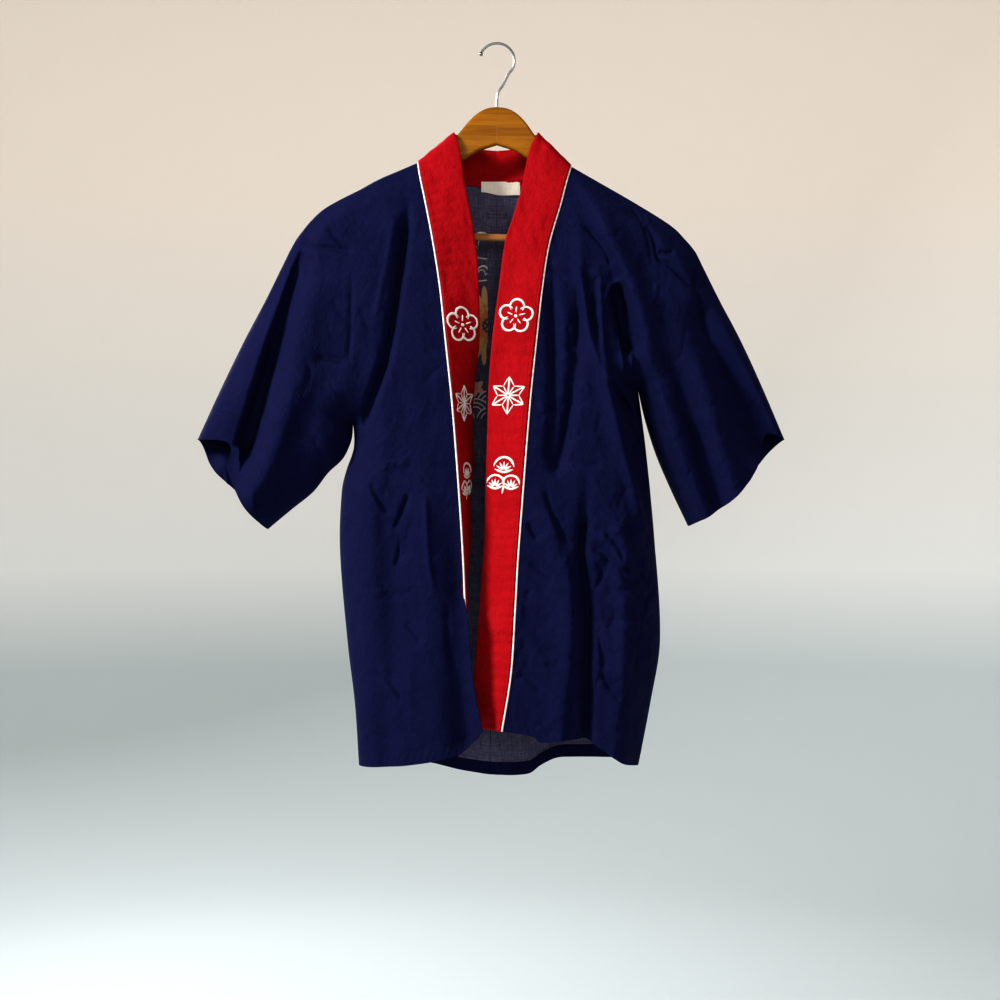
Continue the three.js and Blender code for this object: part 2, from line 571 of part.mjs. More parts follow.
function hangerArm(part, shape) {
  const crest = sampled(part.shoulder, 10).filter(([x]) => Math.abs(x) > 108 && Math.abs(x) < 210)
    .map(([x, z]) => [Math.abs(x), z - PLANK_DROP - 0.5]);
  const ring = [...shape.crest, ...crest, ...shape.end, ...shape.under];
  const section = ring.map(([x, z]) => [part.sign * (x === 0 ? GAP / 2 : x), z]);
  if (part.sign > 0) section.reverse();
  const flat = new CrossSection([section], 'EvenOdd');
  const round = 3;
  const slices = [[PLANK_HALF - round, 0], [PLANK_HALF - round * 0.4, -round * 0.2], [PLANK_HALF, -round]];
  let solid = null;
  for (const [y, inset] of slices) {
    const plate = flat.offset(inset, 'Round', 2, 8).extrude(2 * y, 0, 0, [1, 1], true);
    solid = solid ? solid.add(plate) : plate;
  }
  return solid.rotate([90, 0, 0]);
}

function barSolid(radius, trim) {
  const [[x0, z0], [x1, z1]] = BAR_ENDS;
  const length = Math.hypot(x1 - x0, z1 - z0) - 2 * trim;
  const tilt = (Math.atan2(z1 - z0, x1 - x0) * 180) / Math.PI;
  return Manifold.cylinder(length, radius, radius, 20, true)
    .rotate([0, 90 - tilt, 0]).translate([(x0 + x1) / 2, 0, (z0 + z1) / 2]);
}

function arm(part, shape) {
  const stem = Manifold.cylinder(STEM_DEPTH + 1, WIRE_R + GAP, WIRE_R + GAP, 16)
    .translate([0, 0, CROWN - STEM_DEPTH - GAP]);
  return toGeometry(hangerArm(part, shape).subtract(stem).subtract(barSolid(BAR_R + GAP, -GAP)));
}

function hook() {
  const centre = WIRE_R - HOOK_R;
  const points = [];
  for (let angle = 162; angle >= -48; angle -= 15) {
    const rad = (angle * Math.PI) / 180;
    points.push(new THREE.Vector3(HOOK_R * Math.cos(rad), 0, centre + HOOK_R * Math.sin(rad)));
  }
  for (const [x, z] of HOOK_STEM) points.push(new THREE.Vector3(x, 0, z));
  const wire = toManifold(swept(points, WIRE_R, 10, 40));
  const ball = Manifold.sphere(2.4, 12).translate([points[0].x, 0, points[0].z]);
  return toGeometry(wire.add(ball));
}

function label() {
  const { left, right, top, bottom, thick, standOff } = LABEL;
  const face = (i, j) => {
    const x = mix(left, right, i / 6);
    const z = mix(top, bottom, j / 2);
    const y = depthAt(x < 0 ? RIGHT : LEFT, 'back', x, z);
    return new THREE.Vector3(x, y - CLOTH - GAP - standOff, z);
  };
  return wall(6, 2, face, thick);
}

// ---------------------------------------------------------------- assembly
const linear = (r, g, b) => new THREE.Color().setRGB(r, g, b, THREE.LinearSRGBColorSpace);
const NAVY = linear(0.009, 0.012, 0.056);
const RED = linear(0.53, 0.007, 0.012);
const WHITE = linear(0.82, 0.8, 0.76);
const WOOD = linear(0.35, 0.127, 0.02);
const BAR = linear(0.234, 0.09, 0.024);
const STEEL = linear(0.55, 0.55, 0.56);

const root = new THREE.Group();
root.name = 'happi_coat_on_hanger';
function add(name, geometry, color, roughness, metalness = 0) {
  const material = new THREE.MeshStandardMaterial({ color, roughness, metalness });
  const mesh = new THREE.Mesh(geometry, material);
  mesh.name = name;
  root.add(mesh);
}

add('front_left', panel(LEFT, 'front'), NAVY, 0.85);
add('front_right', panel(RIGHT, 'front'), NAVY, 0.85);
add('back_left', panel(LEFT, 'back'), NAVY, 0.85);
add('back_right', panel(RIGHT, 'back'), NAVY, 0.85);
add('sleeve_left', sleeve(LEFT), NAVY, 0.85);
add('sleeve_right', sleeve(RIGHT), NAVY, 0.85);
add('collar', collar(), RED, 0.8);
add('piping', piping(), WHITE, 0.7);
add('label', label(), WHITE, 0.6);
add('hanger_arm_left', arm(LEFT, HANGER_LEFT), WOOD, 0.4);
add('hanger_arm_right', arm(RIGHT, HANGER_RIGHT), WOOD, 0.4);
add('trouser_bar', toGeometry(barSolid(BAR_R, 0)), BAR, 0.5);
add('hook', hook(), STEEL, 0.25, 1);

export default root;
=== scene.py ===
import math

import bpy
import numpy as np
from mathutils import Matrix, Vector


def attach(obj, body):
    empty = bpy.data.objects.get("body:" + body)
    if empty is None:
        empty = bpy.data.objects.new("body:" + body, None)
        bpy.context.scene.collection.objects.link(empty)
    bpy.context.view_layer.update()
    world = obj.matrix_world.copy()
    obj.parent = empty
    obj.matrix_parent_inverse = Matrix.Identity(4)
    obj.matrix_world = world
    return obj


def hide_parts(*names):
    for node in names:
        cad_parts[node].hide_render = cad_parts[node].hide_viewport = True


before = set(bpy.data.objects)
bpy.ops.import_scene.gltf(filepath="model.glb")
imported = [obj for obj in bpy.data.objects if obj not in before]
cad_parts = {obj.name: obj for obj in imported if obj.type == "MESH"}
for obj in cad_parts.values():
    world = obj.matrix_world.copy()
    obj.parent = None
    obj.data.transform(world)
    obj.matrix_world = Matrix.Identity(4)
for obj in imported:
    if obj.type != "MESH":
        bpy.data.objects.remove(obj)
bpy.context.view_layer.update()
MM = 0.001

# ------------------------------------------------------------------ sizes, mm
CLOTH = 0.9          # navy cotton
TURN_UP = 22.0       # hem turned to the inside
CUFF_TURN = 50.0     # the same at the cuffs
TURN_THICK = 0.7     # extra thickness of the turned hem
ALLOWANCE = 12.0     # centre-back seam allowance pressed to each side
BAND = 2.4           # doubled collar band
PIPING_R = 1.2
PIPING_STEP = 1.55
UNDERARM_V = 0.3
SEAM_FADE = 24.0
PLANK_HALF = 5.4
PLANK_DROP = 3.2
WIRE_R = 1.5
HOOK_R = 22.4
BAR_R = 4.6
CENTRE_TOP, CENTRE_BOTTOM, CENTRE_LEAN = -169.5, -948, 9.6     # centre-back seam, mm
CREASE = 2.0         # scale of the small creases

# depth of the cloth by height: z, front, back, roundness radius, spread
DEPTH = [
    (-980, 46, 88, 30, 58), (-921, 48, 86, 30, 58), (-800, 57, 78, 30, 56), (-657, 55, 68, 30, 54),
    (-462, 45, 54, 24, 46), (-376, 38, 46, 16, 40), (-319, 33, 41, 11, 34), (-261, 27, 36, 8, 30),
    (-207, 20, 31, 8, 26), (-176, 13, 29, 8, 24), (-157, 8, 27, 8, 24), (-100, 8, 26, 8, 24)]

# left = wearer's left = +X; each row: share of length, x, z
LEFT = dict(
    sign=1,
    seam=[(0, 94.7, -156.8), (.03, 89, -176.2), (.08, 81.1, -206.8), (.16, 65.7, -261.2),
          (.24, 56.7, -318.9), (.3, 50.3, -375.9), (.42, 41.4, -461.7), (.58, 32.5, -574.3),
          (.7, 26.2, -657.7), (.78, 23, -714.8), (.9, 17.5, -799.4), (1, 6.3, -871.3)],
    shoulder=[(0, 94.7, -156.8), (.18, 124, -173.4), (.46, 169, -199), (.73, 212, -225),
              (.84, 229, -237.4), (.9, 239, -248), (.96, 248, -258), (1, 254.7, -267)],
    armhole=[(0, 254.7, -267), (.27, 247, -297), (.53, 232, -345), (.8, 208, -398), (1, 180.5, -442)],
    side=[(0, 180.5, -442), (.17, 190.7, -521.6), (.4, 201, -629), (.69, 208.6, -762),
          (.86, 196, -843), (1, 181, -921)],
    sleeve_top=[(0, 254.7, -267), (.25, 284.2, -327), (.5, 311, -378.2), (.75, 339.2, -439.7),
                (1, 367.4, -506.2)],
    sleeve_under=[(0, 180.5, -442), (.25, 189.4, -480.6), (.5, 203.5, -525.4), (.75, 222.7, -570.2),
                  (1, 244.5, -616.3)],
    cuff_front=[(0, 244.5, -616.3), (.3, 285.4, -591), (.55, 316, -561), (.7, 330, -537),
                (.8, 336, -518), (.88, 344, -499), (1, 367.4, -506.2)],
    cuff_back=[(0, 244.5, -616.3), (.3, 285.4, -591.5), (.55, 316.2, -563), (.75, 336, -540),
               (1, 367.4, -506.2)],
    hem_front=[(0, 6.3, -871.3), (.21, 45, -878.5), (.27, 53.7, -885), (.45, 86, -882), (.59, 110, -882),
               (.7, 128, -893), (.8, 147, -906), (.9, 162, -915), (1, 181, -921)],
    hem_back=[(0, -9.6, -948), (.19, 25, -950), (.28, 44, -948), (.36, 58, -938), (.46, 78, -930),
              (.6, 104, -927), (.8, 147, -921), (1, 181, -921)],
    free=[(0, 51.2, 0, -113.3), (.008, 50, -8.6, -118.5), (.018, 43.5, -10.5, -131), (.03, 38.2, -11, -150),
          (.08, 30.5, -15, -189.5), (.14, 19, -20, -228), (.18, 10.2, -22, -256), (.24, 3, -25, -310),
          (.3, -5, -29, -372), (.38, -10, -29, -432), (.46, -11.8, -28, -489), (.56, -13.8, -26, -558),
          (.66, -15.5, -26, -632), (.73, -19, -25, -684), (.81, -23, -24, -738), (.9, -28, -22, -798),
          (.95, -29, -18, -836), (1, -22.7, -8, -873)])

RIGHT = dict(
    sign=-1,
    seam=[(0, -101.1, -151.7), (.03, -97.9, -171.1), (.08, -91.2, -203), (.16, -80.7, -257.4),
          (.24, -71.6, -316.3), (.3, -65.2, -376), (.42, -56.1, -461.9), (.58, -47.2, -574.3),
          (.7, -42.1, -657.5), (.78, -39.6, -714.5), (.9, -33.4, -798.8), (1, -21.1, -870.7)],
    shoulder=[(0, -101.1, -151.7), (.13, -123, -161), (.3, -151, -173), (.45, -175, -186),
              (.61, -201, -199), (.75, -223, -212), (.85, -238, -226), (.91, -248, -238),
              (.96, -257, -250), (1, -265, -264.3)],
    armhole=[(0, -265, -264.3), (.27, -260, -298), (.53, -245, -353), (.8, -216.5, -422), (1, -184.3, -486)],
    side=[(0, -184.3, -486), (.04, -182.6, -503), (.08, -183.8, -520), (.14, -193, -546),
          (.2, -198.5, -571), (.36, -201, -644.5), (.65, -190.7, -768.6), (.82, -181.8, -842.9),
          (1, -176.6, -921)],
    sleeve_top=[(0, -265, -264.3), (.25, -295.7, -327), (.5, -323.8, -380.8), (.75, -354.6, -444.8),
                (1, -382.7, -506.2)],
    sleeve_under=[(0, -184.3, -486), (.12, -186.5, -507), (.22, -196.5, -529), (.4, -216, -548),
                  (.6, -235.5, -572.8), (.8, -262.4, -594.6), (1, -293.1, -620.2)],
    cuff_front=[(0, -293.1, -620.2), (.25, -318, -590), (.45, -334, -558), (.56, -339, -540),
                (.68, -334, -519), (.8, -343, -509), (1, -382.7, -506.2)],
    cuff_back=[(0, -293.1, -620.2), (.25, -320, -591), (.5, -346.9, -564), (.78, -372.5, -537),
               (1, -382.7, -506.2)],
    hem_front=[(0, -21.1, -870.7), (.06, -29.8, -886), (.14, -42.3, -898.5), (.23, -57.2, -904),
               (.48, -96, -912), (.75, -138, -918), (1, -176.6, -921)],
    hem_back=[(0, -9.6, -948), (.2, -45, -944), (.42, -84, -937), (.7, -126, -929), (1, -176.6, -921)],
    free=[(0, -53.8, 0, -113.7), (.008, -52.5, -8.6, -118.5), (.018, -48.5, -10.5, -132),
          (.03, -45, -11, -151.4), (.06, -42, -12, -176), (.1, -36.8, -15, -203), (.16, -28.6, -18, -249),
          (.2, -25, -18, -282), (.25, -22.8, -17, -331), (.31, -23, -10, -381), (.36, -27, -3, -412),
          (.44, -33, 3, -478), (.52, -31, 3, -531), (.6, -34.6, 0, -585), (.7, -37, -2, -660),
          (.8, -45, -4, -733), (.9, -49, -6, -800), (1, -41, -2, -868)])

# back neckline, centre back (0) to neck point: share, seam x, y, z, free edge x, y, z
NECK_BACK = [(0, 0, 28.5, -169.5, 0, 55, -123), (.3, 29, 27.5, -168.5, 19, 51, -121.5),
             (.6, 58, 22, -165, 36, 37, -117), (.84, 83, 13, -160, 46, 17, -113.7),
             (.95, 92.3, 8.4, -157.6, 50.4, 9, -113.6)]
NECK_SHARE = 0.38

# folds: depth (+ out of the cloth), share of the depth at the start, width toward -x, width toward +x,
# path x, z
FRONT_FOLDS = [
    # wearer's right: sleeve strip, sleeve, chest, body
    (-34, .5, 4.5, 20, [-243, -250, -269, -336, -295, -422, -322, -510]),
    (8, 1, 24, 26, [-226, -280, -254, -430, -300, -590]),
    (8, .4, 24, 8, [-230, -400, -238, -440, -256, -466, -277, -531, -302, -573]),
    (-13, 1, 7, 6, [-112, -206, -118, -262, -127, -332, -141, -412, -166, -482]),
    (2, 1, 22, 14, [-132, -200, -162, -310, -192, -440]),
    (-6, .6, 16, 16, [-216, -440, -250, -540, -276, -602]),
    (7, .8, 22, 24, [-92, -540, -86, -640, -76, -740, -70, -922]),
    (-8, .8, 18, 18, [-142, -560, -134, -720, -138, -922]),
    (-8, .6, 14, 14, [-58, -600, -48, -700, -40, -880]),
    # wearer's left: sleeve strip, sleeve, shoulder to body
    (-30, .4, 24, 15, [250, -314, 265, -368, 292, -417, 330, -483, 343, -507]),
    (15, 1, 9, 17, [106, -172, 129, -225, 147, -264, 171, -319, 182, -354, 192, -417, 206, -469, 237, -556,
                    258, -601]),
    (-12, .7, 10, 10, [218, -400, 240, -470, 258, -521, 282, -604]),
    (11, .8, 14, 16, [244, -380, 262, -450, 282, -521, 300, -580]),
    (-27, 1, 10, 9, [150, -304, 158, -345, 166, -390]),
    (8, 1, 6, 5, [127, -290, 130, -340, 133, -390, 141, -430]),
    (12, .7, 9, 6, [103, -230, 106, -300, 110, -345, 118, -384, 133, -424, 147, -472, 158, -521, 172, -566,
                    186, -618]),
    (-12, .6, 10, 7, [97, -300, 102, -345, 101, -390, 96, -436, 87, -493, 77, -540]),
    (-9, .8, 5, 6, [142, -424, 152, -446, 166, -472, 180, -500]),
    (-7, 1, 9, 10, [66, -270, 71, -382, 73, -434, 68, -525]),
    (9, .6, 18, 7, [58, -560, 62, -598, 73, -624, 84, -662, 91, -713, 90, -773, 84, -834, 79, -900]),
    (-20, .5, 7, 7, [112, -560, 109, -613, 106, -646, 110, -683, 114, -728, 112, -782, 113, -925]),
    (11, .8, 14, 18, [152, -590, 160, -750, 150, -925])]
BACK_FOLDS = [
    (-9, .6, 34, 34, [0, -300, -3, -620, -8, -950]),
    (12, 1, 26, 26, [96, -210, 92, -520, 84, -945]),
    (12, 1, 26, 26, [-100, -205, -90, -540, -88, -940]),
    (-18, .8, 22, 20, [150, -330, 140, -620, 136, -925]),
    (-15, .8, 20, 24, [-152, -320, -138, -640, -132, -925]),
    (11, 1, 18, 20, [150, -220, 186, -350, 204, -460, 244, -590]),
    (11, 1, 20, 18, [-150, -210, -190, -350, -214, -470, -262, -580]),
    (-19, .5, 22, 15, [250, -330, 288, -430, 326, -530]),
    (-17, .5, 15, 24, [-262, -330, -306, -440, -352, -540])]

# small creases, sharper than the folds: same columns
FRONT_CREASES = [
    # wearer's right: shoulder and sleeve
    (-2.4, .8, 4, 5, [-250, -248, -232, -263, -212, -265, -182, -273]),
    (-2.0, .8, 4, 5, [-217, -232, -200, -257, -180, -274]),
    (-2.2, .8, 5, 5, [-249, -266, -244, -284, -238, -303]),
    (-1.6, .8, 4, 5, [-183, -290, -184, -378, -188, -412]),
    (-2.4, .8, 5, 4, [-234, -407, -212, -406, -186, -411]),
    (-2.4, .8, 4, 4, [-232, -410, -237, -439, -257, -463]),
    (1.6, .7, 7, 7, [-190, -500, -226, -470, -262, -452]),
    (-1.7, .7, 5, 7, [-212, -520, -252, -500, -290, -488]),
    (-1.6, .6, 5, 5, [-150, -455, -178, -478, -192, -492]),
    (-1.6, .9, 5, 5, [-110, -196, -118, -262, -127, -332, -141, -412, -164, -476]),
    (1.6, .8, 6, 7, [-128, -210, -140, -290, -158, -380]),
    # wearer's right: body
    (-3.0, .9, 4, 5, [-160, -556, -147, -583, -132, -604]),
    (-3.2, .9, 4, 5, [-109, -572, -118, -597, -129, -622]),
    (1.8, .9, 3, 3, [-150, -542, -126, -538, -105, -531]),
    (-2.4, .9, 4, 4, [-121, -628, -122, -652, -128, -668]),
    (-1.8, .8, 3, 4, [-156, -705, -126, -701, -98, -694]),
    (-1.8, .8, 3, 4, [-116, -734, -104, -748, -93, -761]),
    (-2.0, .8, 4, 5, [-155, -792, -132, -812, -117, -836]),
    (-2.0, .8, 4, 5, [-180, -862, -156, -873, -120, -883]),
    (2.0, .9, 5, 4, [-89, -570, -87, -610, -84, -660, -76, -705]),
    (-1.8, .8, 5, 5, [-62, -700, -60, -760, -52, -800]),
    # wearer's left: shoulder and sleeve
    (-3.4, .9, 4, 5, [185, -226, 198, -253, 203, -278, 216, -286, 236, -305, 254, -319]),
    (-2.8, .9, 5, 4, [203, -268, 212, -272, 226, -269]),
    (-2.4, .9, 4, 5, [246, -285, 251, -316, 262, -360]),
    (-2.4, 1, 5, 4, [252, -322, 266, -369, 293, -418, 330, -483]),
    (-1.8, .7, 4, 5, [170, -205, 190, -250, 196, -290]),
    (-2.0, .7, 4, 6, [206, -452, 238, -480, 262, -530]),
    (-2.0, .7, 4, 5, [244, -500, 262, -560, 276, -600]),
    # wearer's left: chest and recess under the arm
    (-3.0, .9, 4.5, 4.5, [103, -230, 126, -252, 140, -274, 144, -290]),
    (-3.0, .9, 4, 5, [127, -296, 124, -320, 122, -346, 130, -394]),
    (3.4, 1, 4, 4, [137, -350, 138, -328, 146, -312, 158, -310, 168, -326, 174, -350]),
    (2.8, 1, 3, 3, [152, -372, 156, -396, 160, -432]),
    (2.4, 1, 3, 3, [163, -356, 168, -386, 170, -430]),
    (-3.2, .9, 4, 4, [150, -436, 166, -437, 184, -440]),
    (-3.0, .9, 4, 4, [142, -432, 153, -452, 166, -466, 178, -492]),
    (-2.6, .8, 4, 5, [99, -300, 103, -350, 100, -396]),
    (-2.0, .8, 4, 5, [70, -276, 72, -382, 70, -520]),
    (-2.2, .9, 3, 4, [74, -528, 104, -536, 134, -545]),
    (-2.6, .8, 4, 5, [97, -430, 88, -490, 78, -534]),
    # wearer's left: body
    (-3.4, .9, 4, 5, [59, -566, 65, -589, 74, -611, 90, -646]),
    (-2.8, .9, 4, 4, [38, -610, 44, -622, 52, -634]),
    (-1.8, .9, 5, 6, [39, -660, 56, -672, 72, -687]),
    (-1.8, .9, 6, 6, [24, -796, 40, -806, 58, -826]),
    (-2.8, .9, 4, 5, [110, -600, 106, -646, 112, -690]),
    (-3.2, .9, 4.5, 4.5, [118, -634, 134, -652, 156, -668, 180, -677, 190, -696]),
    (-2.4, .9, 5, 5, [118, -661, 131, -668, 128, -686, 117, -702]),
    (-2.4, .9, 5, 5, [154, -664, 160, -682, 180, -686]),
    (-2.8, .9, 4, 4, [132, -620, 150, -640, 158, -662]),
    (-2.6, .9, 4, 4, [148, -690, 168, -700, 184, -716]),
    (-3.0, .9, 4.5, 5, [127, -790, 140, -816, 158, -832]),
    (-2.2, .9, 5, 5, [134, -796, 120, -822, 119, -860]),
    (-2.6, .9, 4, 5, [122, -736, 130, -768, 134, -798])]
BACK_CREASES = [
    (-2.4, .6, 6, 8, [206, -232, 222, -274, 230, -330]),
    (-2.4, .6, 8, 6, [-210, -228, -228, -268, -240, -320]),
    (2.0, .7, 7, 7, [120, -190, 150, -270, 172, -350]),
    (2.0, .7, 7, 7, [-122, -184, -152, -270, -176, -350]),
    (-2.2, .7, 6, 6, [180, -450, 152, -500, 118, -540]),
    (-2.2, .7, 6, 6, [-184, -492, -150, -530, -118, -556]),
    (-1.8, .7, 6, 6, [190, -480, 160, -540, 130, -600]),
    (-1.8, .7, 6, 6, [-190, -540, -160, -590, -126, -630]),
    (-2.0, .7, 6, 6, [204, -440, 236, -470, 268, -520]),
    (-2.0, .7, 6, 6, [-204, -480, -242, -500, -284, -540]),
    (1.8, .7, 7, 7, [46, -560, 52, -700, 44, -880]),
    (-1.8, .7, 7, 7, [-46, -600, -50, -720, -40, -860]),
    (-1.6, .7, 5, 7, [60, -230, 40, -262, 4, -280]),
    (-1.6, .7, 7, 5, [-64, -226, -42, -262, -6, -284]),
    (-1.8, .8, 6, 6, [190, -700, 160, -760, 150, -860]),
    (-1.8, .8, 6, 6, [-188, -700, -160, -770, -150, -880])]


# side seam of the wearer's left, which the drape turns onto the front: x, z
SIDE_SEAM = [(200, -560), (197, -630), (190, -695), (180, -737),
             (171, -791), (159, -834), (153, -860), (146, -921)]

# areas of small wrinkles: x and z from, to; how many; direction and its spread, degrees; length, depth
WRINKLES = {
    "front": [(-360, -200, -560, -260, 40, -60, 50, 34, 1.2), (-200, -40, -900, -230, 110, -75, 60, 30, 1.3),
              (40, 200, -640, -200, 90, -80, 50, 30, 1.6), (108, 200, -740, -610, 46, -25, 70, 26, 2.6),
              (20, 200, -910, -700, 70, -70, 60, 28, 1.9), (200, 350, -580, -270, 40, -60, 50, 34, 1.3),
              (160, 204, -860, -600, 34, -20, 30, 16, 2.0)],
    "back": [(-200, 200, -930, -220, 190, -80, 60, 32, 1.3), (-360, -200, -560, -260, 34, -60, 50, 34, 1.2),
             (200, 350, -580, -270, 34, 60, 50, 34, 1.2)]}


# ------------------------------------------------------------------ curve tools
def mix(a, b, t):
    return a + (b - a) * t


def ease(t):
    c = np.clip(t, 0, 1)
    return c * c * (3 - 2 * c)


def along(rows, t):
    """Smooth curve through table rows; the first column is the parameter."""
    rows = np.asarray(rows, float)
    t = np.asarray(t, float)
    last = len(rows) - 1
    i = np.searchsorted(rows[1:last, 0], t, side="left")
    p1, p2 = rows[i], rows[i + 1]
    p0, p3 = rows[np.maximum(i - 1, 0)], rows[np.minimum(i + 2, last)]
    span = (p2[..., 0] - p1[..., 0])[..., None]
    s = np.clip((t - p1[..., 0]) / span[..., 0], 0, 1)[..., None]
    m1 = (p2 - p0)[..., 1:] / np.maximum(p2 - p0, 1e-9)[..., :1] * span
    m2 = (p3 - p1)[..., 1:] / np.maximum(p3 - p1, 1e-9)[..., :1] * span
    return (p1[..., 1:] * (1 + 2 * s) * (1 - s) ** 2 + m1 * s * (1 - s) ** 2
            + p2[..., 1:] * s * s * (3 - 2 * s) + m2 * s * s * (s - 1))


def smooth_run(points, n):
    rows = [(i / (len(points) - 1),) + tuple(p) for i, p in enumerate(points)]
    return along(rows, np.linspace(0, 1, n))


def nearest(line, x, z):
    """Distance to a polyline, side of it, share of its length."""
    best = np.full(x.shape, 1e9)
    side = np.zeros(x.shape)
    share = np.zeros(x.shape)
    count = len(line) - 1
    for i in range(count):
        (ax, az), (bx, bz) = line[i], line[i + 1]
        t = np.clip(((x - ax) * (bx - ax) + (z - az) * (bz - az)) / ((bx - ax) ** 2 + (bz - az) ** 2), 0, 1)
        dx = x - mix(ax, bx, t)
        d = np.hypot(dx, z - mix(az, bz, t))
        near = d < best
        best = np.where(near, d, best)
        side = np.where(near, np.sign(dx), side)
        share = np.where(near, (i + t) / count, share)
    return best, side, share


def prepared(table):
    out = []
    for depth, grow, low, high, path in table:
        pts = np.array(path, float).reshape(-1, 2)
        rows = np.column_stack([np.linspace(0, 1, len(pts)), pts])
        out.append((depth, grow, low, high, along(rows, np.linspace(0, 1, 13))))
    return out


def folded(folds, x, z, sharp=False):
    total = np.zeros(x.shape)
    for depth, grow, low, high, line in folds:
        reach = 2.4 * max(low, high) * (2 if sharp else 1)
        lo, hi = line.min(0) - reach, line.max(0) + reach
        inside = (x > lo[0]) & (x < hi[0]) & (z > lo[1]) & (z < hi[1])
        if not inside.any():
            continue
        d, side, share = nearest(line, x[inside], z[inside])
        q = d / np.where(side < 0, low, high)
        if sharp:
            form = 1 / (1 + q * q) ** 2
            ends = ease(share / 0.22) * ease((1 - share) / 0.22)
        else:
            form = np.where(q < 2.2, np.exp(-q * q), 0)
            ends = mix(0.15, 1, ease(share / 0.22))
        total[inside] += depth * mix(grow, 1, share) * ends * form
    return total


def small_creases(areas):
    """Short creases scattered over the areas of a WRINKLES table, as rows of a crease table."""
    out = []
    for x0, x1, z0, z1, count, lean, spread, length, depth in areas:
        for _ in range(count):
            x, z, turn = rng.uniform(x0, x1), rng.uniform(z0, z1), math.radians(rng.normal(lean, spread))
            half, bend = 0.5 * length * rng.uniform(0.5, 1.5), length * rng.normal(0, 0.12)
            dx, dz = math.cos(turn), math.sin(turn)
            wide = rng.uniform(3.2, 5.2)
            path = [x - half * dx, z - half * dz, x - bend * dz, z + bend * dx, x + half * dx, z + half * dz]
            reach = 1.25 * depth * rng.choice([-1, -1, 1]) * rng.uniform(0.35, 1)
            out.append((reach, 1, wide, wide * 1.3, path))
    return out


rng = np.random.default_rng(7)
FOLDS = {"front": prepared(FRONT_FOLDS), "back": prepared(BACK_FOLDS)}
CREASES = {"front": prepared(FRONT_CREASES), "back": prepared(BACK_CREASES)}
SMALL = {face: prepared(small_creases(areas)) for face, areas in WRINKLES.items()}
for part in (LEFT, RIGHT):
    grid = lambda key, n: along(part[key], np.linspace(0, 1, n + 1))
    part["outline"] = [np.vstack([grid("shoulder", 48), grid("sleeve_top", 32)[1:]]),
                       np.vstack([grid("sleeve_under", 32)[::-1], grid("side", 40)[1:]])]
    part["seam_line"] = grid("seam", 60)

LATTICE = rng.uniform(-1, 1, (4, 256, 256))


def noise(x, z, size_x, size_z, layer=0):
    """Smooth lattice noise, -1 to 1, with its own grain length each way."""
    u, v = x / size_x + 91.7, z / size_z + 133.1
    i, j = np.floor(u).astype(int), np.floor(v).astype(int)
    fu, fv = ease(u - i), ease(v - j)
    g = LATTICE[layer]
    at = lambda a, b: g[a % 256, b % 256]
    return mix(mix(at(i, j), at(i + 1, j), fu), mix(at(i, j + 1), at(i + 1, j + 1), fu), fv)


# ------------------------------------------------------------------ the cloth's two faces
def depth_at(part, face, x, z, sleeve=0.0, fine=True):
    """Distance of the cloth from the seam plane at x, z."""
    d = np.minimum(*[nearest(line, x, z)[0] for line in part["outline"]])
    rows = [((r[0] + 980) / 880,) + tuple(r[1:]) for r in DEPTH]
    table = along(rows, (z + 980) / 880)
    full = table[..., 0] if face == "front" else table[..., 1]
    radius = np.minimum(table[..., 2], full)
    turn = radius * np.sqrt(np.maximum(0, 1 - (1 - np.minimum(1, d / radius)) ** 2))
    body = turn + (full - radius) * ease(d / table[..., 3])
    tube = 36 * np.sqrt(np.maximum(0, 1 - (1 - np.minimum(1, d / 44)) ** 2))
    fold = folded(FOLDS[face], x, z) * ease(d / SEAM_FADE)
    lowest = np.minimum(turn, 7 + 0.1 * d)
    depth = np.maximum(lowest, mix(body, tube, ease(sleeve)) + fold)
    if fine:
        depth = depth + fine_cloth(part, face, x, z, d, sleeve)
    return depth


def fine_cloth(part, face, x, z, d, sleeve):
    """Creases, faint rumples and the puckers beside the seams."""
    calm = ease(d / 12)
    lean = x + part["sign"] * 0.55 * (z + 260) * ease(sleeve * 3)
    shift = 40 if face == "back" else 0
    rumple = (0.75 * noise(lean + shift, z, 26, 120) + 0.4 * noise(lean + shift, z, 11, 60, 1)
              + 0.5 * noise(x + z * 0.4 + shift, z, 46, 38, 2) + 0.16 * noise(x + shift, z, 7, 9, 3))
    worn = 0.55 + 1.1 * np.exp(-((x - 140) / 60) ** 2 - ((z + 700) / 130) ** 2)
    crumple = (1 - np.abs(noise(lean + 0.3 * z + shift, z, 34, 52, 1))) ** 2 * 1.5 * worn
    crumple += (1 - np.abs(noise(lean - 0.5 * z + shift, z, 20, 26, 2))) ** 3 * 0.8 * worn
    crumple += 0.3 * noise(x + 0.4 * z + shift, z, 5, 8, 3) * worn
    creases = CREASE * folded(CREASES[face], x, z, sharp=True) + folded(SMALL[face], x, z, sharp=True)
    out = calm * (creases + rumple + crumple)
    if face == "front":
        near, _, share = nearest(part["seam_line"], x, z)
        wave = np.sin(share * 330 + 2.4 * noise(x, z, 60, 24, 3))
        out += 0.55 * wave * np.exp(-near / 7) * ease((z + 900) / -40 + 19)
        if part is LEFT:
            near, _, share = nearest(SIDE_SEAM, x, z)
            out -= 1.6 * np.exp(-(near / 1.8) ** 2)
            out += 1.2 * np.sin(share * 110 + 0.12 * z + 3 * noise(x, z, 50, 20, 3)) * np.exp(-near / 8)
    return out


def outer_edge(part, v):
    hole = along(part["armhole"], np.clip(v / UNDERARM_V, 0, 1))
    side = along(part["side"], np.clip((v - UNDERARM_V) / (1 - UNDERARM_V), 0, 1))
    return np.where((v < UNDERARM_V)[..., None], hole, side)


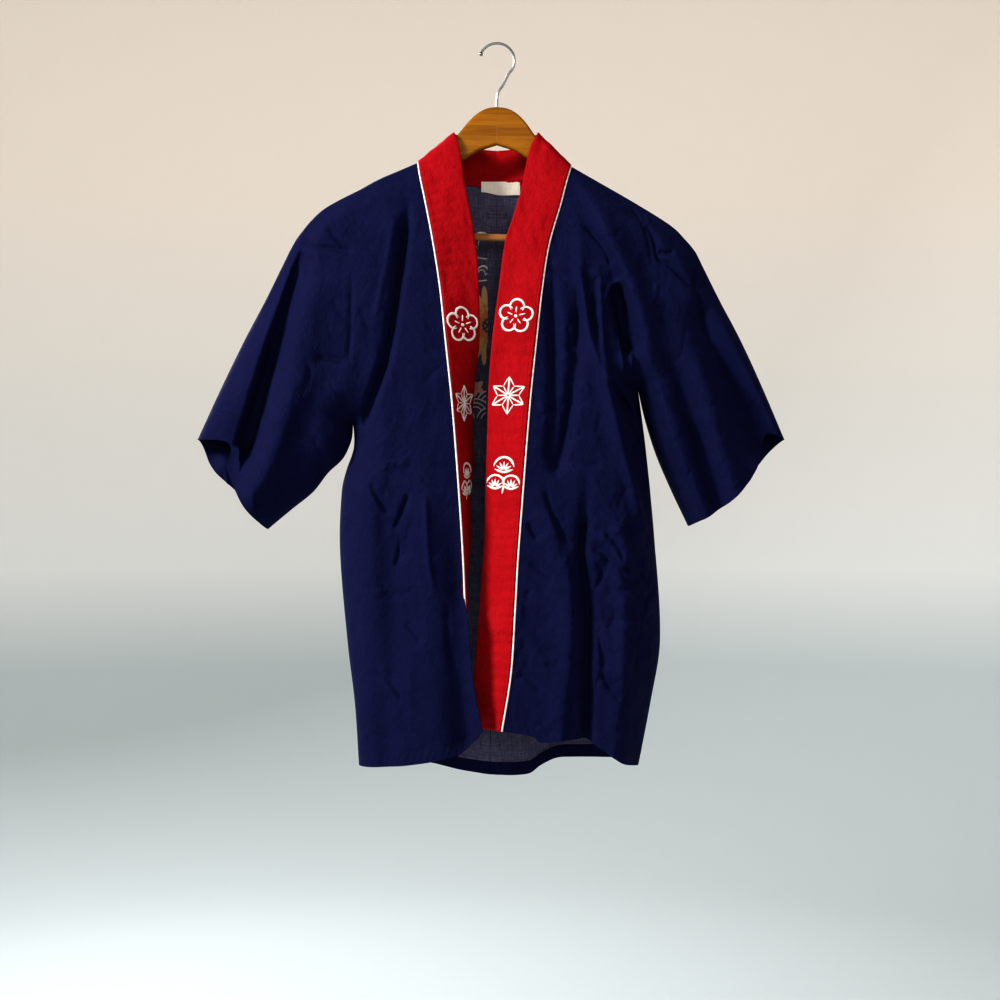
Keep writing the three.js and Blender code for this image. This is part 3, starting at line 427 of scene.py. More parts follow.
def blend(inner, outer, top, hem, u, v):
    ends = np.array([0.0, 1.0])
    (i0, i1), (o0, o1) = inner(ends), outer(ends)
    u1, v1 = u[..., None], v[..., None]
    return (mix(inner(v), outer(v), u1) + (top(u) - mix(i0, o0, u1)) * (1 - v1) ** 3
            + (hem(u) - mix(i1, o1, u1)) * v1 ** 3)


def front_plan(part, u, v):
    sign = part["sign"]
    shift = lambda p, k: p + np.stack([sign * PIPING_STEP * k, 0 * k], -1)
    return blend(lambda s: shift(along(part["seam"], s), 0.8 + 0 * s), lambda s: outer_edge(part, s),
                 lambda s: shift(along(part["shoulder"], s), 0.8 * (1 - s)),
                 lambda s: shift(along(part["hem_front"], s), 0.8 * (1 - s)), u, v)


def neck_rows(part):
    (_, sx, sz), (_, fx, _, fz) = part["seam"][0], part["free"][0]
    wide, opening, rise = sx / LEFT["seam"][0][1], fx / LEFT["free"][0][1], sz - LEFT["seam"][0][2]
    rows = [(s, x * wide, y, z + rise * s, ex * opening, ey, ez) for s, x, y, z, ex, ey, ez in NECK_BACK]
    return rows + [(1, sx, 0, sz, fx, 0, fz)]


def back_plan(part, u, v):
    neck = neck_rows(part)

    def top(s):
        collar = along(neck, np.clip(s / NECK_SHARE, 0, 1))[..., [0, 2]]
        shoulder = along(part["shoulder"], np.clip((s - NECK_SHARE) / (1 - NECK_SHARE), 0, 1))
        p = np.where((s > NECK_SHARE)[..., None], shoulder, collar)
        return p - np.stack([0 * s, 2.1 * np.clip((NECK_SHARE + 0.05 - s) / 0.05, 0, 1)], -1)

    centre = lambda s: np.stack([-CENTRE_LEAN * s, mix(CENTRE_TOP, CENTRE_BOTTOM, s)], -1)
    return blend(centre, lambda s: outer_edge(part, s), top, lambda s: along(part["hem_back"], s), u, v)


def sleeve_plan(part, face, a, w):
    a1, w1 = a[..., None], w[..., None]
    ends = np.array([0.0, 1.0])
    over, under = along(part["sleeve_top"], a), along(part["sleeve_under"], a)
    (over0, over1), (under0, under1) = along(part["sleeve_top"], ends), along(part["sleeve_under"], ends)
    hole, cuff = along(part["armhole"], 1 - w), along(part["cuff_" + face], w)
    return (mix(hole, cuff, a1) + (over - mix(over0, over1, a1)) * w1
            + (under - mix(under0, under1, a1)) * (1 - w1))


# ------------------------------------------------------------------ meshes
def grid_normals(p, closed=False):
    """Unit normals of a grid of points, rows by columns."""
    if closed:
        du = np.roll(p, -1, 1) - np.roll(p, 1, 1)
    else:
        du = np.gradient(p, axis=1)
    dv = np.gradient(p, axis=0)
    n = np.cross(du, dv)
    return n / np.maximum(np.linalg.norm(n, axis=-1, keepdims=True), 1e-12)


def settled(n, closed=False, passes=3):
    """Normals averaged with their neighbours, for the inner face of a sharply creased cloth."""
    for _ in range(passes):
        wide = np.concatenate([n[:, -1:] if closed else n[:, :1], n, n[:, :1] if closed else n[:, -1:]], 1)
        tall = np.concatenate([wide[:1], wide, wide[-1:]], 0)
        n = sum(tall[j:j + n.shape[0], i:i + n.shape[1]] for j in range(3) for i in range(3))
        n = n / np.maximum(np.linalg.norm(n, axis=-1, keepdims=True), 1e-12)
    return n


def new_object(name, verts, faces, mats, face_mat=None, uv=None, normals=None, node=(), slot=None):
    mesh = bpy.data.meshes.new(name)
    mesh.from_pydata(np.asarray(verts, float).tolist(), [], [list(map(int, f)) for f in faces])
    for m in mats:
        mesh.materials.append(m)
    if face_mat is not None:
        mesh.polygons.foreach_set("material_index", np.asarray(face_mat, np.int32))
    if uv is not None:
        layer = mesh.uv_layers.new(name="cloth")
        index = np.empty(len(mesh.loops), np.int32)
        mesh.loops.foreach_get("vertex_index", index)
        layer.data.foreach_set("uv", np.asarray(uv, np.float32)[index].ravel())
    mesh.polygons.foreach_set("use_smooth", np.ones(len(mesh.polygons), bool))
    mesh.update()
    if normals is not None:
        mesh.normals_split_custom_set_from_vertices(np.asarray(normals, float).tolist())
    obj = bpy.data.objects.new(name, mesh)
    bpy.context.scene.collection.objects.link(obj)
    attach(obj, "root")
    if node:
        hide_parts(*([node] if isinstance(node, str) else node))
    return obj


def grid_faces(rows, cols, closed=False, offset=0, flip=False, turned=None):
    """Quads of a grid. Each splits on its 0-2 diagonal; `turned` starts one corner later, and a
    flipped face keeps the diagonal, so that the two faces of a wall split alike."""
    count = cols if closed else cols + 1
    j, i = np.meshgrid(np.arange(rows), np.arange(cols), indexing="ij")
    a = j * count + i
    b = j * count + (i + 1) % count
    f = np.stack([a, b, b + count, a + count], -1)
    if turned is not None:
        f = np.where(turned[..., None], np.roll(f, -1, -1), f)
    f = f.reshape(-1, 4) + offset
    return f[:, [0, 3, 2, 1]] if flip else f


def shell(name, p, thick, mats, uv, turn, flip, flat=None, closed=False, guard=0, node=(), slot=None):
    """Thin cloth: outer grid p (rows, columns, 3) in mm, inner face `thick` below it.
    turn marks inner faces of the turned-up hem, flat the points whose normal has no y."""
    rows, cols = p.shape[0] - 1, (p.shape[1] if closed else p.shape[1] - 1)
    n = grid_normals(p, closed) * (-1 if flip else 1)
    if flat is not None:
        n = np.where(flat[..., None], n * [1, 0, 1], n)
        n /= np.maximum(np.linalg.norm(n, axis=-1, keepdims=True), 1e-12)
    q = p - settled(n, closed) * np.broadcast_to(thick, p.shape[:2])[..., None]
    m = np.concatenate([n, n[:, :1]], 1) if closed else n
    turned = (m[:-1, 1:] * m[1:, :-1]).sum(-1) > (m[:-1, :-1] * m[1:, 1:]).sum(-1)
    if guard:
        q[..., 1] = np.maximum(q[..., 1] * guard, 0) * guard
    size = p.shape[0] * p.shape[1]
    outer = grid_faces(rows, cols, closed, 0, flip, turned)
    inner = grid_faces(rows, cols, closed, size, not flip, turned)
    rims = []
    count = p.shape[1]
    edges = [[(0, i), (0, (i + 1) % count)] for i in range(cols)]
    edges += [[(rows, (i + 1) % count), (rows, i)] for i in range(cols)]
    if not closed:
        edges += [[(j + 1, 0), (j, 0)] for j in range(rows)]
        edges += [[(j, cols), (j + 1, cols)] for j in range(rows)]
    for (j0, i0), (j1, i1) in edges:
        a, b = j0 * count + i0, j1 * count + i1
        face = [a, a + size, b + size, b]
        rims.append(face[::-1] if flip else face)
    face_mat = np.concatenate([np.zeros(len(outer)), np.where(turn.ravel(), 0, 1), np.zeros(len(rims))])
    verts = np.concatenate([p.reshape(-1, 3), q.reshape(-1, 3)]) * MM
    normals = np.concatenate([n.reshape(-1, 3), -n.reshape(-1, 3)])
    uvs = np.concatenate([uv.reshape(-1, 2)] * 2) * MM
    return new_object(name, verts, list(outer) + list(inner) + rims, mats, face_mat, uvs, normals, node, slot)


def tube(path, radius, sides, up=(0, 1, 0)):
    """Points of a round tube along a path, mm; radius may vary along it."""
    path = np.asarray(path, float)
    t = np.gradient(path, axis=0)
    t /= np.linalg.norm(t, axis=1, keepdims=True)
    side = np.cross(t, up)
    side /= np.maximum(np.linalg.norm(side, axis=1, keepdims=True), 1e-9)
    top = np.cross(side, t)
    ang = np.linspace(0, 2 * np.pi, sides, endpoint=False)
    r = np.broadcast_to(radius, len(path))[:, None, None]
    ring = np.cos(ang)[None, :, None] * side[:, None] + np.sin(ang)[None, :, None] * top[:, None]
    return path[:, None] + r * ring


def tube_object(name, path, radius, sides, mats, **kw):
    ring = tube(path, radius, sides)
    n = len(ring)
    verts = np.vstack([ring.reshape(-1, 3), path[:1], path[-1:]]) * MM
    faces = list(grid_faces(n - 1, sides, True, 0, True))
    for i in range(sides):
        faces.append([n * sides, i, (i + 1) % sides])
        faces.append([n * sides + 1, (n - 1) * sides + (i + 1) % sides, (n - 1) * sides + i])
    length = np.concatenate([[0], np.cumsum(np.linalg.norm(np.diff(path, axis=0), axis=1))])
    uv = np.stack(np.broadcast_arrays(np.arange(sides)[None] * 0.6, length[:, None]), -1).reshape(-1, 2)
    uv = np.vstack([uv, uv[:1], uv[-1:]]) * MM
    return new_object(name, verts, faces, mats, uv=uv, **kw)


# ------------------------------------------------------------------ materials
def material(name):
    mat = bpy.data.materials.new(name)
    mat.use_nodes = True
    nodes, links = mat.node_tree.nodes, mat.node_tree.links
    shader = nodes["Principled BSDF"]

    def add(kind, **values):
        node = nodes.new(kind)
        for key, value in values.items():
            if hasattr(node, key):
                setattr(node, key, value)
            else:
                node.inputs[key.replace("_", " ")].default_value = value
        return node

    def join(a, b):
        links.new(a, b)

    return mat, shader, add, join


def cloth_material(name, color, low, high, rough=0.8, sheen=0.02, tint=(0.5, 0.55, 0.8), pitch=0.0006,
                   weave=0.35, slub=0.5, shine=0.06, washed_relief=0.0011):
    """Plain weave: warp and weft ripples in UV metres, slubby threads, soft tone changes."""
    mat, shader, add, join = material(name)
    uv = add("ShaderNodeUVMap", uv_map="cloth")
    split = add("ShaderNodeSeparateXYZ")
    join(uv.outputs["UV"], split.inputs[0])
    waves = []
    for axis in ("X", "Y"):
        scaled = add("ShaderNodeMath", operation="MULTIPLY")
        scaled.inputs[1].default_value = 2 * math.pi / pitch
        join(split.outputs[axis], scaled.inputs[0])
        wave = add("ShaderNodeMath", operation="SINE")
        join(scaled.outputs[0], wave.inputs[0])
        waves.append(wave)
    cross = add("ShaderNodeMath", operation="MULTIPLY")
    join(waves[0].outputs[0], cross.inputs[0])
    join(waves[1].outputs[0], cross.inputs[1])
    threads = []
    for stretch in ((900, 60, 1), (60, 900, 1)):
        place = add("ShaderNodeMapping")
        place.inputs["Scale"].default_value = stretch
        join(uv.outputs["UV"], place.inputs["Vector"])
        grain = add("ShaderNodeTexNoise", Scale=1.0, Detail=3.0, Roughness=0.6)
        join(place.outputs[0], grain.inputs["Vector"])
        threads.append(grain)
    both = add("ShaderNodeMath", operation="ADD")
    join(threads[0].outputs["Fac"], both.inputs[0])
    join(threads[1].outputs["Fac"], both.inputs[1])
    cloud = add("ShaderNodeTexNoise", Scale=14.0, Detail=4.0, Roughness=0.55)
    join(uv.outputs["UV"], cloud.inputs["Vector"])
    tone = add("ShaderNodeMath", operation="MULTIPLY_ADD")
    tone.inputs[1].default_value = slub
    join(both.outputs[0], tone.inputs[0])
    spread = add("ShaderNodeMath", operation="MULTIPLY_ADD")
    spread.inputs[1].default_value = 0.5
    spread.inputs[2].default_value = -0.25 - slub + 0.5
    join(cloud.outputs["Fac"], spread.inputs[0])
    join(spread.outputs[0], tone.inputs[2])
    ramp = add("ShaderNodeValToRGB")
    ramp.color_ramp.elements[0].position = 0.25
    ramp.color_ramp.elements[0].color = (*low, 1)
    ramp.color_ramp.elements[1].position = 0.75
    ramp.color_ramp.elements[1].color = (*high, 1)
    middle = ramp.color_ramp.elements.new(0.5)
    middle.color = (*color, 1)
    join(tone.outputs[0], ramp.inputs[0])
    join(ramp.outputs[0], shader.inputs["Base Color"])
    height = add("ShaderNodeMath", operation="MULTIPLY_ADD")
    height.inputs[1].default_value = weave
    join(cross.outputs[0], height.inputs[0])
    join(both.outputs[0], height.inputs[2])
    crinkle = add("ShaderNodeTexNoise", Scale=170.0, Detail=3.0, Roughness=0.55, Distortion=0.6)
    join(uv.outputs["UV"], crinkle.inputs["Vector"])
    washed = add("ShaderNodeBump", Strength=1.0, Distance=washed_relief)
    join(crinkle.outputs["Fac"], washed.inputs["Height"])
    bump = add("ShaderNodeBump", Strength=0.35, Distance=0.0001)
    join(height.outputs[0], bump.inputs["Height"])
    join(washed.outputs[0], bump.inputs["Normal"])
    join(bump.outputs[0], shader.inputs["Normal"])
    shader.inputs["Roughness"].default_value = rough
    shader.inputs["Specular IOR Level"].default_value = shine
    shader.inputs["Sheen Weight"].default_value = sheen
    shader.inputs["Sheen Roughness"].default_value = 0.5
    shader.inputs["Sheen Tint"].default_value = (*tint, 1)
    return mat


def thread_material(name, color, low, pitch=0.00045, rough=0.5, sheen=0.05, shine=0.35):
    """Satin stitch: fine parallel threads across the stroke, with painted shade darkening the grooves between
    them.
    """
    mat, shader, add, join = material(name)
    uv = add("ShaderNodeUVMap", uv_map="cloth")
    split = add("ShaderNodeSeparateXYZ")
    join(uv.outputs["UV"], split.inputs[0])
    jitter = add("ShaderNodeTexNoise", Scale=900.0, Detail=2.0, Roughness=0.5)
    join(uv.outputs["UV"], jitter.inputs["Vector"])
    scaled = add("ShaderNodeMath", operation="MULTIPLY_ADD")
    scaled.inputs[1].default_value = 2 * math.pi / pitch
    join(split.outputs["Y"], scaled.inputs[0])
    join(jitter.outputs["Fac"], scaled.inputs[2])
    wave = add("ShaderNodeMath", operation="SINE")
    join(scaled.outputs[0], wave.inputs[0])
    # The ramp's low colour darkens the grooves between the threads: painted shade.
    ramp = add("ShaderNodeValToRGB")
    ramp.color_ramp.elements[0].position = 0.0
    ramp.color_ramp.elements[0].color = (*low, 1)
    ramp.color_ramp.elements[1].position = 0.7
    ramp.color_ramp.elements[1].color = (*color, 1)
    half = add("ShaderNodeMath", operation="MULTIPLY_ADD")
    half.inputs[1].default_value = 0.5
    half.inputs[2].default_value = 0.5
    join(wave.outputs[0], half.inputs[0])
    join(half.outputs[0], ramp.inputs[0])
    join(ramp.outputs[0], shader.inputs["Base Color"])
    bump = add("ShaderNodeBump", Strength=0.5, Distance=0.00015)
    join(half.outputs[0], bump.inputs["Height"])
    join(bump.outputs[0], shader.inputs["Normal"])
    shader.inputs["Roughness"].default_value = rough
    shader.inputs["Specular IOR Level"].default_value = shine
    shader.inputs["Sheen Weight"].default_value = sheen
    return mat


def wood_material(name, light, dark, along_x=True):
    """Lacquered hardwood: long wavering grain and fine pores."""
    mat, shader, add, join = material(name)
    coords = add("ShaderNodeTexCoord")
    place = add("ShaderNodeMapping")
    place.inputs["Scale"].default_value = (3, 30, 38) if along_x else (30, 30, 3)
    place.inputs["Rotation"].default_value = (0.1, 0.06, 0.2)
    join(coords.outputs["Object"], place.inputs["Vector"])
    grain = add("ShaderNodeTexNoise", Scale=2.2, Detail=6.0, Roughness=0.65, Distortion=0.8)
    join(place.outputs[0], grain.inputs["Vector"])
    fine = add("ShaderNodeMapping")
    fine.inputs["Scale"].default_value = (25, 500, 500)
    join(coords.outputs["Object"], fine.inputs["Vector"])
    pores = add("ShaderNodeTexNoise", Scale=1.0, Detail=3.0, Roughness=0.7)
    join(fine.outputs[0], pores.inputs["Vector"])
    tone = add("ShaderNodeMath", operation="MULTIPLY_ADD")
    tone.inputs[1].default_value = 0.22
    join(pores.outputs["Fac"], tone.inputs[0])
    join(grain.outputs["Fac"], tone.inputs[2])
    ramp = add("ShaderNodeValToRGB")
    ramp.color_ramp.elements[0].position = 0.44
    ramp.color_ramp.elements[0].color = (*dark, 1)
    ramp.color_ramp.elements[1].position = 0.72
    ramp.color_ramp.elements[1].color = (*light, 1)
    join(tone.outputs[0], ramp.inputs[0])
    join(ramp.outputs[0], shader.inputs["Base Color"])
    bump = add("ShaderNodeBump", Strength=0.15, Distance=0.0002)
    join(pores.outputs["Fac"], bump.inputs["Height"])
    join(bump.outputs[0], shader.inputs["Normal"])
    shader.inputs["Roughness"].default_value = 0.5
    shader.inputs["Specular IOR Level"].default_value = 0.12
    shader.inputs["Coat Weight"].default_value = 0.06
    shader.inputs["Coat Roughness"].default_value = 0.25
    return mat


def steel_material():
    mat, shader, add, join = material("hook steel")
    coords = add("ShaderNodeTexCoord")
    smear = add("ShaderNodeTexNoise", Scale=140.0, Detail=4.0, Roughness=0.6)
    join(coords.outputs["Object"], smear.inputs["Vector"])
    rough = add("ShaderNodeMapRange")
    rough.inputs["To Min"].default_value = 0.14
    rough.inputs["To Max"].default_value = 0.34
    join(smear.outputs["Fac"], rough.inputs["Value"])
    join(rough.outputs[0], shader.inputs["Roughness"])
    shader.inputs["Base Color"].default_value = (0.27, 0.27, 0.28, 1)
    shader.inputs["Metallic"].default_value = 1.0
    return mat


NAVY = cloth_material("navy cotton", (0.0086, 0.0104, 0.048), (0.0058, 0.0074, 0.037),
                      (0.0124, 0.0145, 0.060))
# Wrong side: a lighter chambray blue, with its colour raised further as painted light inside the coat.
NAVY_BACK = cloth_material("navy cotton wrong side", (0.120, 0.108, 0.170), (0.066, 0.061, 0.104),
                           (0.195, 0.180, 0.260), slub=0.9, sheen=0.05)
RED = cloth_material("red cotton", (0.34, 0.0062, 0.0120), (0.26, 0.0036, 0.0080), (0.42, 0.0110, 0.0200),
                     tint=(1, 0.45, 0.4), slub=0.45, washed_relief=0.0012)
WHITE = cloth_material("white piping", (0.80, 0.78, 0.74), (0.70, 0.68, 0.63), (0.86, 0.85, 0.82),
                       tint=(1, 1, 1), pitch=0.0009)
LABEL = cloth_material("label tape", (0.88, 0.80, 0.70), (0.78, 0.70, 0.60), (0.94, 0.88, 0.80),
                       tint=(1, 1, 1), pitch=0.0005, rough=0.6)
NAVY_THREAD = thread_material("navy thread", (0.0064, 0.0090, 0.044), (0.003, 0.0044, 0.022),
                              rough=0.9, shine=0.05)
RED_THREAD = thread_material("red thread", (0.30, 0.006, 0.009), (0.18, 0.003, 0.005), rough=0.9, shine=0.05)
WHITE_SATIN = thread_material("white satin stitch", (0.88, 0.86, 0.82), (0.52, 0.50, 0.47))
GOLD_SATIN = thread_material("gold satin stitch", (0.62, 0.30, 0.07), (0.34, 0.15, 0.03))
ORANGE_SATIN = thread_material("orange satin stitch", (0.62, 0.16, 0.035), (0.34, 0.07, 0.015))
PINK_SATIN = thread_material("pink satin stitch", (0.62, 0.24, 0.22), (0.36, 0.12, 0.11))
# Threads on the wrong side: lighter copies of the front satin colours, painted light for the shaded inside of
# the coat.
WRONG_SIDE_PAINTED_LIGHT = {
    "white": thread_material("pale thread, wrong side", (0.95, 0.84, 0.76), (0.62, 0.52, 0.46)),
    "gold": thread_material("gold thread, wrong side", (0.86, 0.56, 0.26), (0.50, 0.28, 0.10)),
    "orange": thread_material("orange thread, wrong side", (0.86, 0.34, 0.12), (0.50, 0.17, 0.05)),
    "pink": thread_material("pink thread, wrong side", (0.90, 0.50, 0.42), (0.55, 0.26, 0.21))}
WRONG_SIDE_PAINTED_LIGHT["hearts"] = WRONG_SIDE_PAINTED_LIGHT["gold"]
WOOD = wood_material("hanger wood", (0.33, 0.135, 0.006), (0.20, 0.070, 0.002))
BAR_WOOD = wood_material("bar wood", (0.48, 0.23, 0.08), (0.30, 0.12, 0.038))
STEEL = steel_material()

# ------------------------------------------------------------------ coat panels
PANEL_ROWS, PANEL_COLS = 240, 96


def panel_grid(part, face):
    s = np.linspace(0, 1, PANEL_ROWS + 1)
    k = np.linspace(0, 1, PANEL_COLS + 1)
    v, u = np.meshgrid(s * (0.22 + 0.78 * s), 1 - (1 - k) ** 1.3, indexing="ij")
    plan = front_plan(part, u, v) if face == "front" else back_plan(part, u, v)
    x, z = plan[..., 0], plan[..., 1]
    y = depth_at(part, face, x, z)
    join = (u >= 1) & (v >= UNDERARM_V)
    join |= (v <= 0) if face == "front" else (v <= 0) & (u > NECK_SHARE)
    y = np.where(join, 0, np.maximum(y, 0.02))
    return u, v, np.stack([x, -y if face == "front" else y, z], -1), join


def cloth_uv(p):
    """Distances along the cloth, mm, so that the weave keeps its size."""
    du = np.linalg.norm(np.diff(p, axis=1), axis=-1)
    dv = np.linalg.norm(np.diff(p, axis=0), axis=-1)
    u = np.concatenate([np.zeros((len(p), 1)), np.cumsum(du, 1)], 1)
    v = np.concatenate([np.zeros((1, p.shape[1])), np.cumsum(dv, 0)], 0)
    return np.stack([u, v], -1)


LIP_START, LIP_WIDTH, LIP_RISE = 0.75, 16, 4.0   # the right front's edge turned over the piping

HEM_ROWS = []


def note_hem(p, n, to_hem, turn=TURN_UP):
    """Keeps the line of the hem stitching, on the outside and on the inside."""
    line, normal = grid_line(p, n, to_hem, turn - 2)
    HEM_ROWS.append((line, normal))
    HEM_ROWS.append((line - normal * (CLOTH + TURN_THICK), -normal))


def grid_line(p, n, level, value):
    """Where each column of a grid crosses a value of `level`, which falls down the rows."""
    line, normal = [], []
    for i in range(p.shape[1]):
        row = np.interp(-value, -level[:, i], np.arange(len(p)))
        j = min(int(row), len(p) - 2)
        line.append(mix(p[j, i], p[j + 1, i], row - j))
        normal.append(n[j, i])
    return np.array(line), np.array(normal)


def panel(part, face, name):
    _, v, p, join = panel_grid(part, face)
    uv = cloth_uv(p)
    to_hem = uv[-1:, :, 1] - uv[..., 1]
    turned = to_hem < TURN_UP
    groove = 0.35 * np.exp(-((to_hem - TURN_UP + 2) / 0.9) ** 2)
    sign = -1 if face == "front" else 1
    p[..., 1] -= sign * groove * ~join
    ripple = 0.35 * np.sin(uv[..., 0] / 1.5 + to_hem / 3) * ease(to_hem / 6) * ease((TURN_UP - to_hem) / 8)
    p[..., 1] += sign * ripple * ~join * (p[..., 1] * sign > 3)
    if face == "front" and part is RIGHT:
        lip = ease((v - LIP_START) / 0.06) * np.exp(-(uv[..., 0] / LIP_WIDTH) ** 2)
        p += lip[..., None] * [PIPING_STEP + PIPING_R + 1.2, -PIPING_R - CLOTH - LIP_RISE, 0]
    thick = CLOTH + TURN_THICK * ease((TURN_UP - to_hem) / 1.2)
    if face == "back":
        p[..., 1] -= 0.7 * np.exp(-(uv[..., 0] / 1.6) ** 2) * ~join
        thick = thick + 0.8 * ease((ALLOWANCE - uv[..., 0]) / 1.5)
    quads = turned[:-1, :-1]
    flip = (part["sign"] > 0) == (face == "front")
    note_hem(p, grid_normals(p) * (-1 if flip else 1), to_hem)
    obj = shell("cloth_" + name, p, thick, [NAVY, NAVY_BACK], uv, quads, flip, flat=join, guard=sign,
                node=name, slot="navy_cotton")
    return obj, p


def sleeve(part, name):
    rows, half = 130, 84
    a = np.linspace(0, 1, rows + 1)
    w = (1 - np.cos(np.linspace(0, np.pi, half + 1))) / 2
    grids = []
    for face, order in (("front", slice(None)), ("back", slice(None, None, -1))):
        aa, ww = np.meshgrid(a, w[order], indexing="ij")
        plan = sleeve_plan(part, face, aa, ww)
        y = depth_at(part, face, plan[..., 0], plan[..., 1], aa)
        y = np.where((ww <= 0) | (ww >= 1), 0, np.maximum(y, 0.02))
        y = y - 0.5 * np.exp(-(aa / 0.006) ** 2) * (y > 2)
        grids.append(np.stack([plan[..., 0], -y if face == "front" else y, plan[..., 1]], -1))
    p = np.concatenate([grids[0], grids[1][:, 1:-1]], 1)
    loop = np.concatenate([p, p[:, :1]], 1)
    uv = cloth_uv(loop)[:, :-1]
    to_hem = uv[-1:, :, 1] - uv[..., 1]
    join = np.zeros(p.shape[:2], bool)
    join[:, 0] = join[:, half] = True
    groove = 0.35 * np.exp(-((to_hem - CUFF_TURN + 2) / 0.9) ** 2)
    p[..., 1] -= np.sign(p[..., 1]) * groove * (np.abs(p[..., 1]) > 2)
    thick = CLOTH + TURN_THICK * ease((CUFF_TURN - to_hem) / 1.2)
    turned = to_hem < CUFF_TURN
    note_hem(p, grid_normals(p, True) * (-1 if part["sign"] > 0 else 1), to_hem, CUFF_TURN)
    obj = shell("cloth_" + name, p, thick, [NAVY, NAVY_BACK], uv, turned[:-1], part["sign"] > 0,
                flat=join, closed=True, node=name, slot="navy_cotton")
    return obj, p


# ------------------------------------------------------------------ collar and piping
FRONT_SHARE = 0.43
FELL = 7.0           # the felled inner layer of the band reaches this far onto the coat


def collar_line(t, fine=True):
    """Seam and free edge of the band from the right hem, round the neck, to the left hem."""
    seam, free = np.zeros((len(t), 3)), np.zeros((len(t), 3))
    for part, mine in ((RIGHT, t < 0.5), (LEFT, t >= 0.5)):
        s = np.where(part is RIGHT, t, 1 - t)
        front = mine & (s < FRONT_SHARE)
        v = 1 - s[front] / FRONT_SHARE
        xz = along(part["seam"], v)
        y = -depth_at(part, "front", xz[:, 0], xz[:, 1], fine=fine)
        y = np.where(v < 1e-9, 0, y)
        seam[front] = np.stack([xz[:, 0], y, xz[:, 1]], -1)
        free[front] = along(part["free"], v)
        back = mine & ~front
        rows = along(neck_rows(part), 1 - (s[back] - FRONT_SHARE) / (0.5 - FRONT_SHARE))
        seam[back], free[back] = rows[:, :3], rows[:, 3:]
    return seam, free


def collar_stations():
    front = 1 - np.concatenate([np.linspace(1, 0.03, 250), np.linspace(0.03, 0, 16)[1:]])
    neck = FRONT_SHARE + np.linspace(0, 1, 40)[1:-1] * (0.5 - FRONT_SHARE)
    half = np.concatenate([front * FRONT_SHARE, neck])
    return np.concatenate([half, [0.5], 1 - half[::-1]])


def band_face(t, w):
    """Outer face of the band, rows t by columns w, before its thickness."""
    seam, free = collar_line(t)
    reach = free - seam
    start = PIPING_STEP / np.linalg.norm(reach, axis=1)
    share = mix(start[:, None], 1.0, w[None])
    return seam[:, None] + reach[:, None] * share[..., None]


def collar(name="cloth_collar"):
    t = collar_stations()
    w = np.concatenate([np.linspace(0, 0.94, 26), 1 - 0.06 * (1 - np.linspace(0, 1, 9)[1:]) ** 2])
    p = band_face(t, w)
    n = -grid_normals(p)
    uv = cloth_uv(p)
    length = uv[:, :1, 1] * np.ones_like(uv[..., 1])
    soft = ease(w / 0.2)[None] * ease((1 - w) / 0.08)[None]
    wave = (0.8 * noise(uv[..., 0], length, 16, 34, 1)
            + 0.6 * noise(uv[..., 0] + length * 0.5, length, 9, 15, 2)
            + 0.25 * noise(uv[..., 0], length, 4, 5, 3)) * (0.25 + 0.75 * soft)
    pucker = 0.42 * np.sin(length / 1.25 + 0.25 * uv[..., 0] + 2 * noise(length, length, 40, 40))
    pucker = pucker * np.exp(-uv[..., 0] / 8)
    p = p + n * (wave + pucker)[..., None]
    n = -grid_normals(p)
    h = 0.5 * BAND * np.sqrt(np.clip(1 - (np.clip((w - 0.95) / 0.05, 0, 1)) ** 2, 0, 1))[None, :, None]
    middle = p - n * BAND / 2
    outer, inner = middle + n * h, middle - n * h
    loop = np.concatenate([outer, inner[:, -2::-1]], 1)
    cols = loop.shape[1]
    full_uv = np.concatenate([uv, uv[:, -2::-1]], 1)
    faces = list(grid_faces(len(t) - 1, cols, True, 0, True))
    for j, turn in ((0, False), (len(t) - 1, True)):
        for i in range(len(w) - 1):
            face = [i, i + 1, cols - 2 - i, cols - 1 - i]
            face = [j * cols + k for k in dict.fromkeys(face)]
            faces.append(face[::-1] if turn else face)
    obj = new_object(name, loop.reshape(-1, 3) * MM, faces, [RED], uv=full_uv.reshape(-1, 2) * MM,
                     node="collar", slot="red_cotton")
    return t, w, uv, p, inner, n


def facing(t, n):
    """The band's inner layer, felled over the seam on the wearer's side."""
    seam, free = collar_line(t)
    reach = free - seam
    reach /= np.linalg.norm(reach, axis=1, keepdims=True)
    grid = np.zeros((len(t), 7, 3))
    for k, far in enumerate((9, 6, 3)):
        grid[:, k] = seam + reach * far + n * (0.7, 1.1, 1.8)[k]
    grid[:, 3] = seam + n * (PIPING_R + 1.5)
    for part, mine in ((RIGHT, t < 0.5), (LEFT, t >= 0.5)):
        share = t if part is RIGHT else 1 - t
        for face, side, rows in (("front", -1, mine & (share < FRONT_SHARE)),
                                 ("back", 1, mine & (share >= FRONT_SHARE))):
            q = np.array([[2.0, 5.0, FELL if face == "front" else FELL + 1.5]])
            q = q * ease(np.abs(share[rows] - FRONT_SHARE) / 0.006)[:, None]
            x, z = seam[rows, :1] + 0 * q, seam[rows, 2:] + 0 * q
            x, z = (x + part["sign"] * q, z) if face == "front" else (x, z - q)
            at = lambda dx, dz: depth_at(part, face, x + dx, z + dz)
            out = np.stack([at(-0.5, 0) - at(0.5, 0), side + 0 * x, at(0, -0.5) - at(0, 0.5)], -1)
            out /= np.linalg.norm(out, axis=-1, keepdims=True)
            grid[rows, 4:] = np.stack([x, side * at(0, 0), z], -1) - out * (CLOTH + 1.7)
    return grid


def felled_strip(t, n):
    grid = facing(t, n)
    fine = 19
    grid = np.array([smooth_run([tuple(v) for v in row], fine) for row in grid])
    shell("facing", grid, 0.45, [RED, RED], cloth_uv(grid), np.zeros((len(t) - 1, fine - 1), bool), False)


def piping():
    t = collar_stations()
    seam, _ = collar_line(t)
    return tube_object("cord_piping", seam, PIPING_R, 10, [WHITE], node="piping", slot="white_piping")


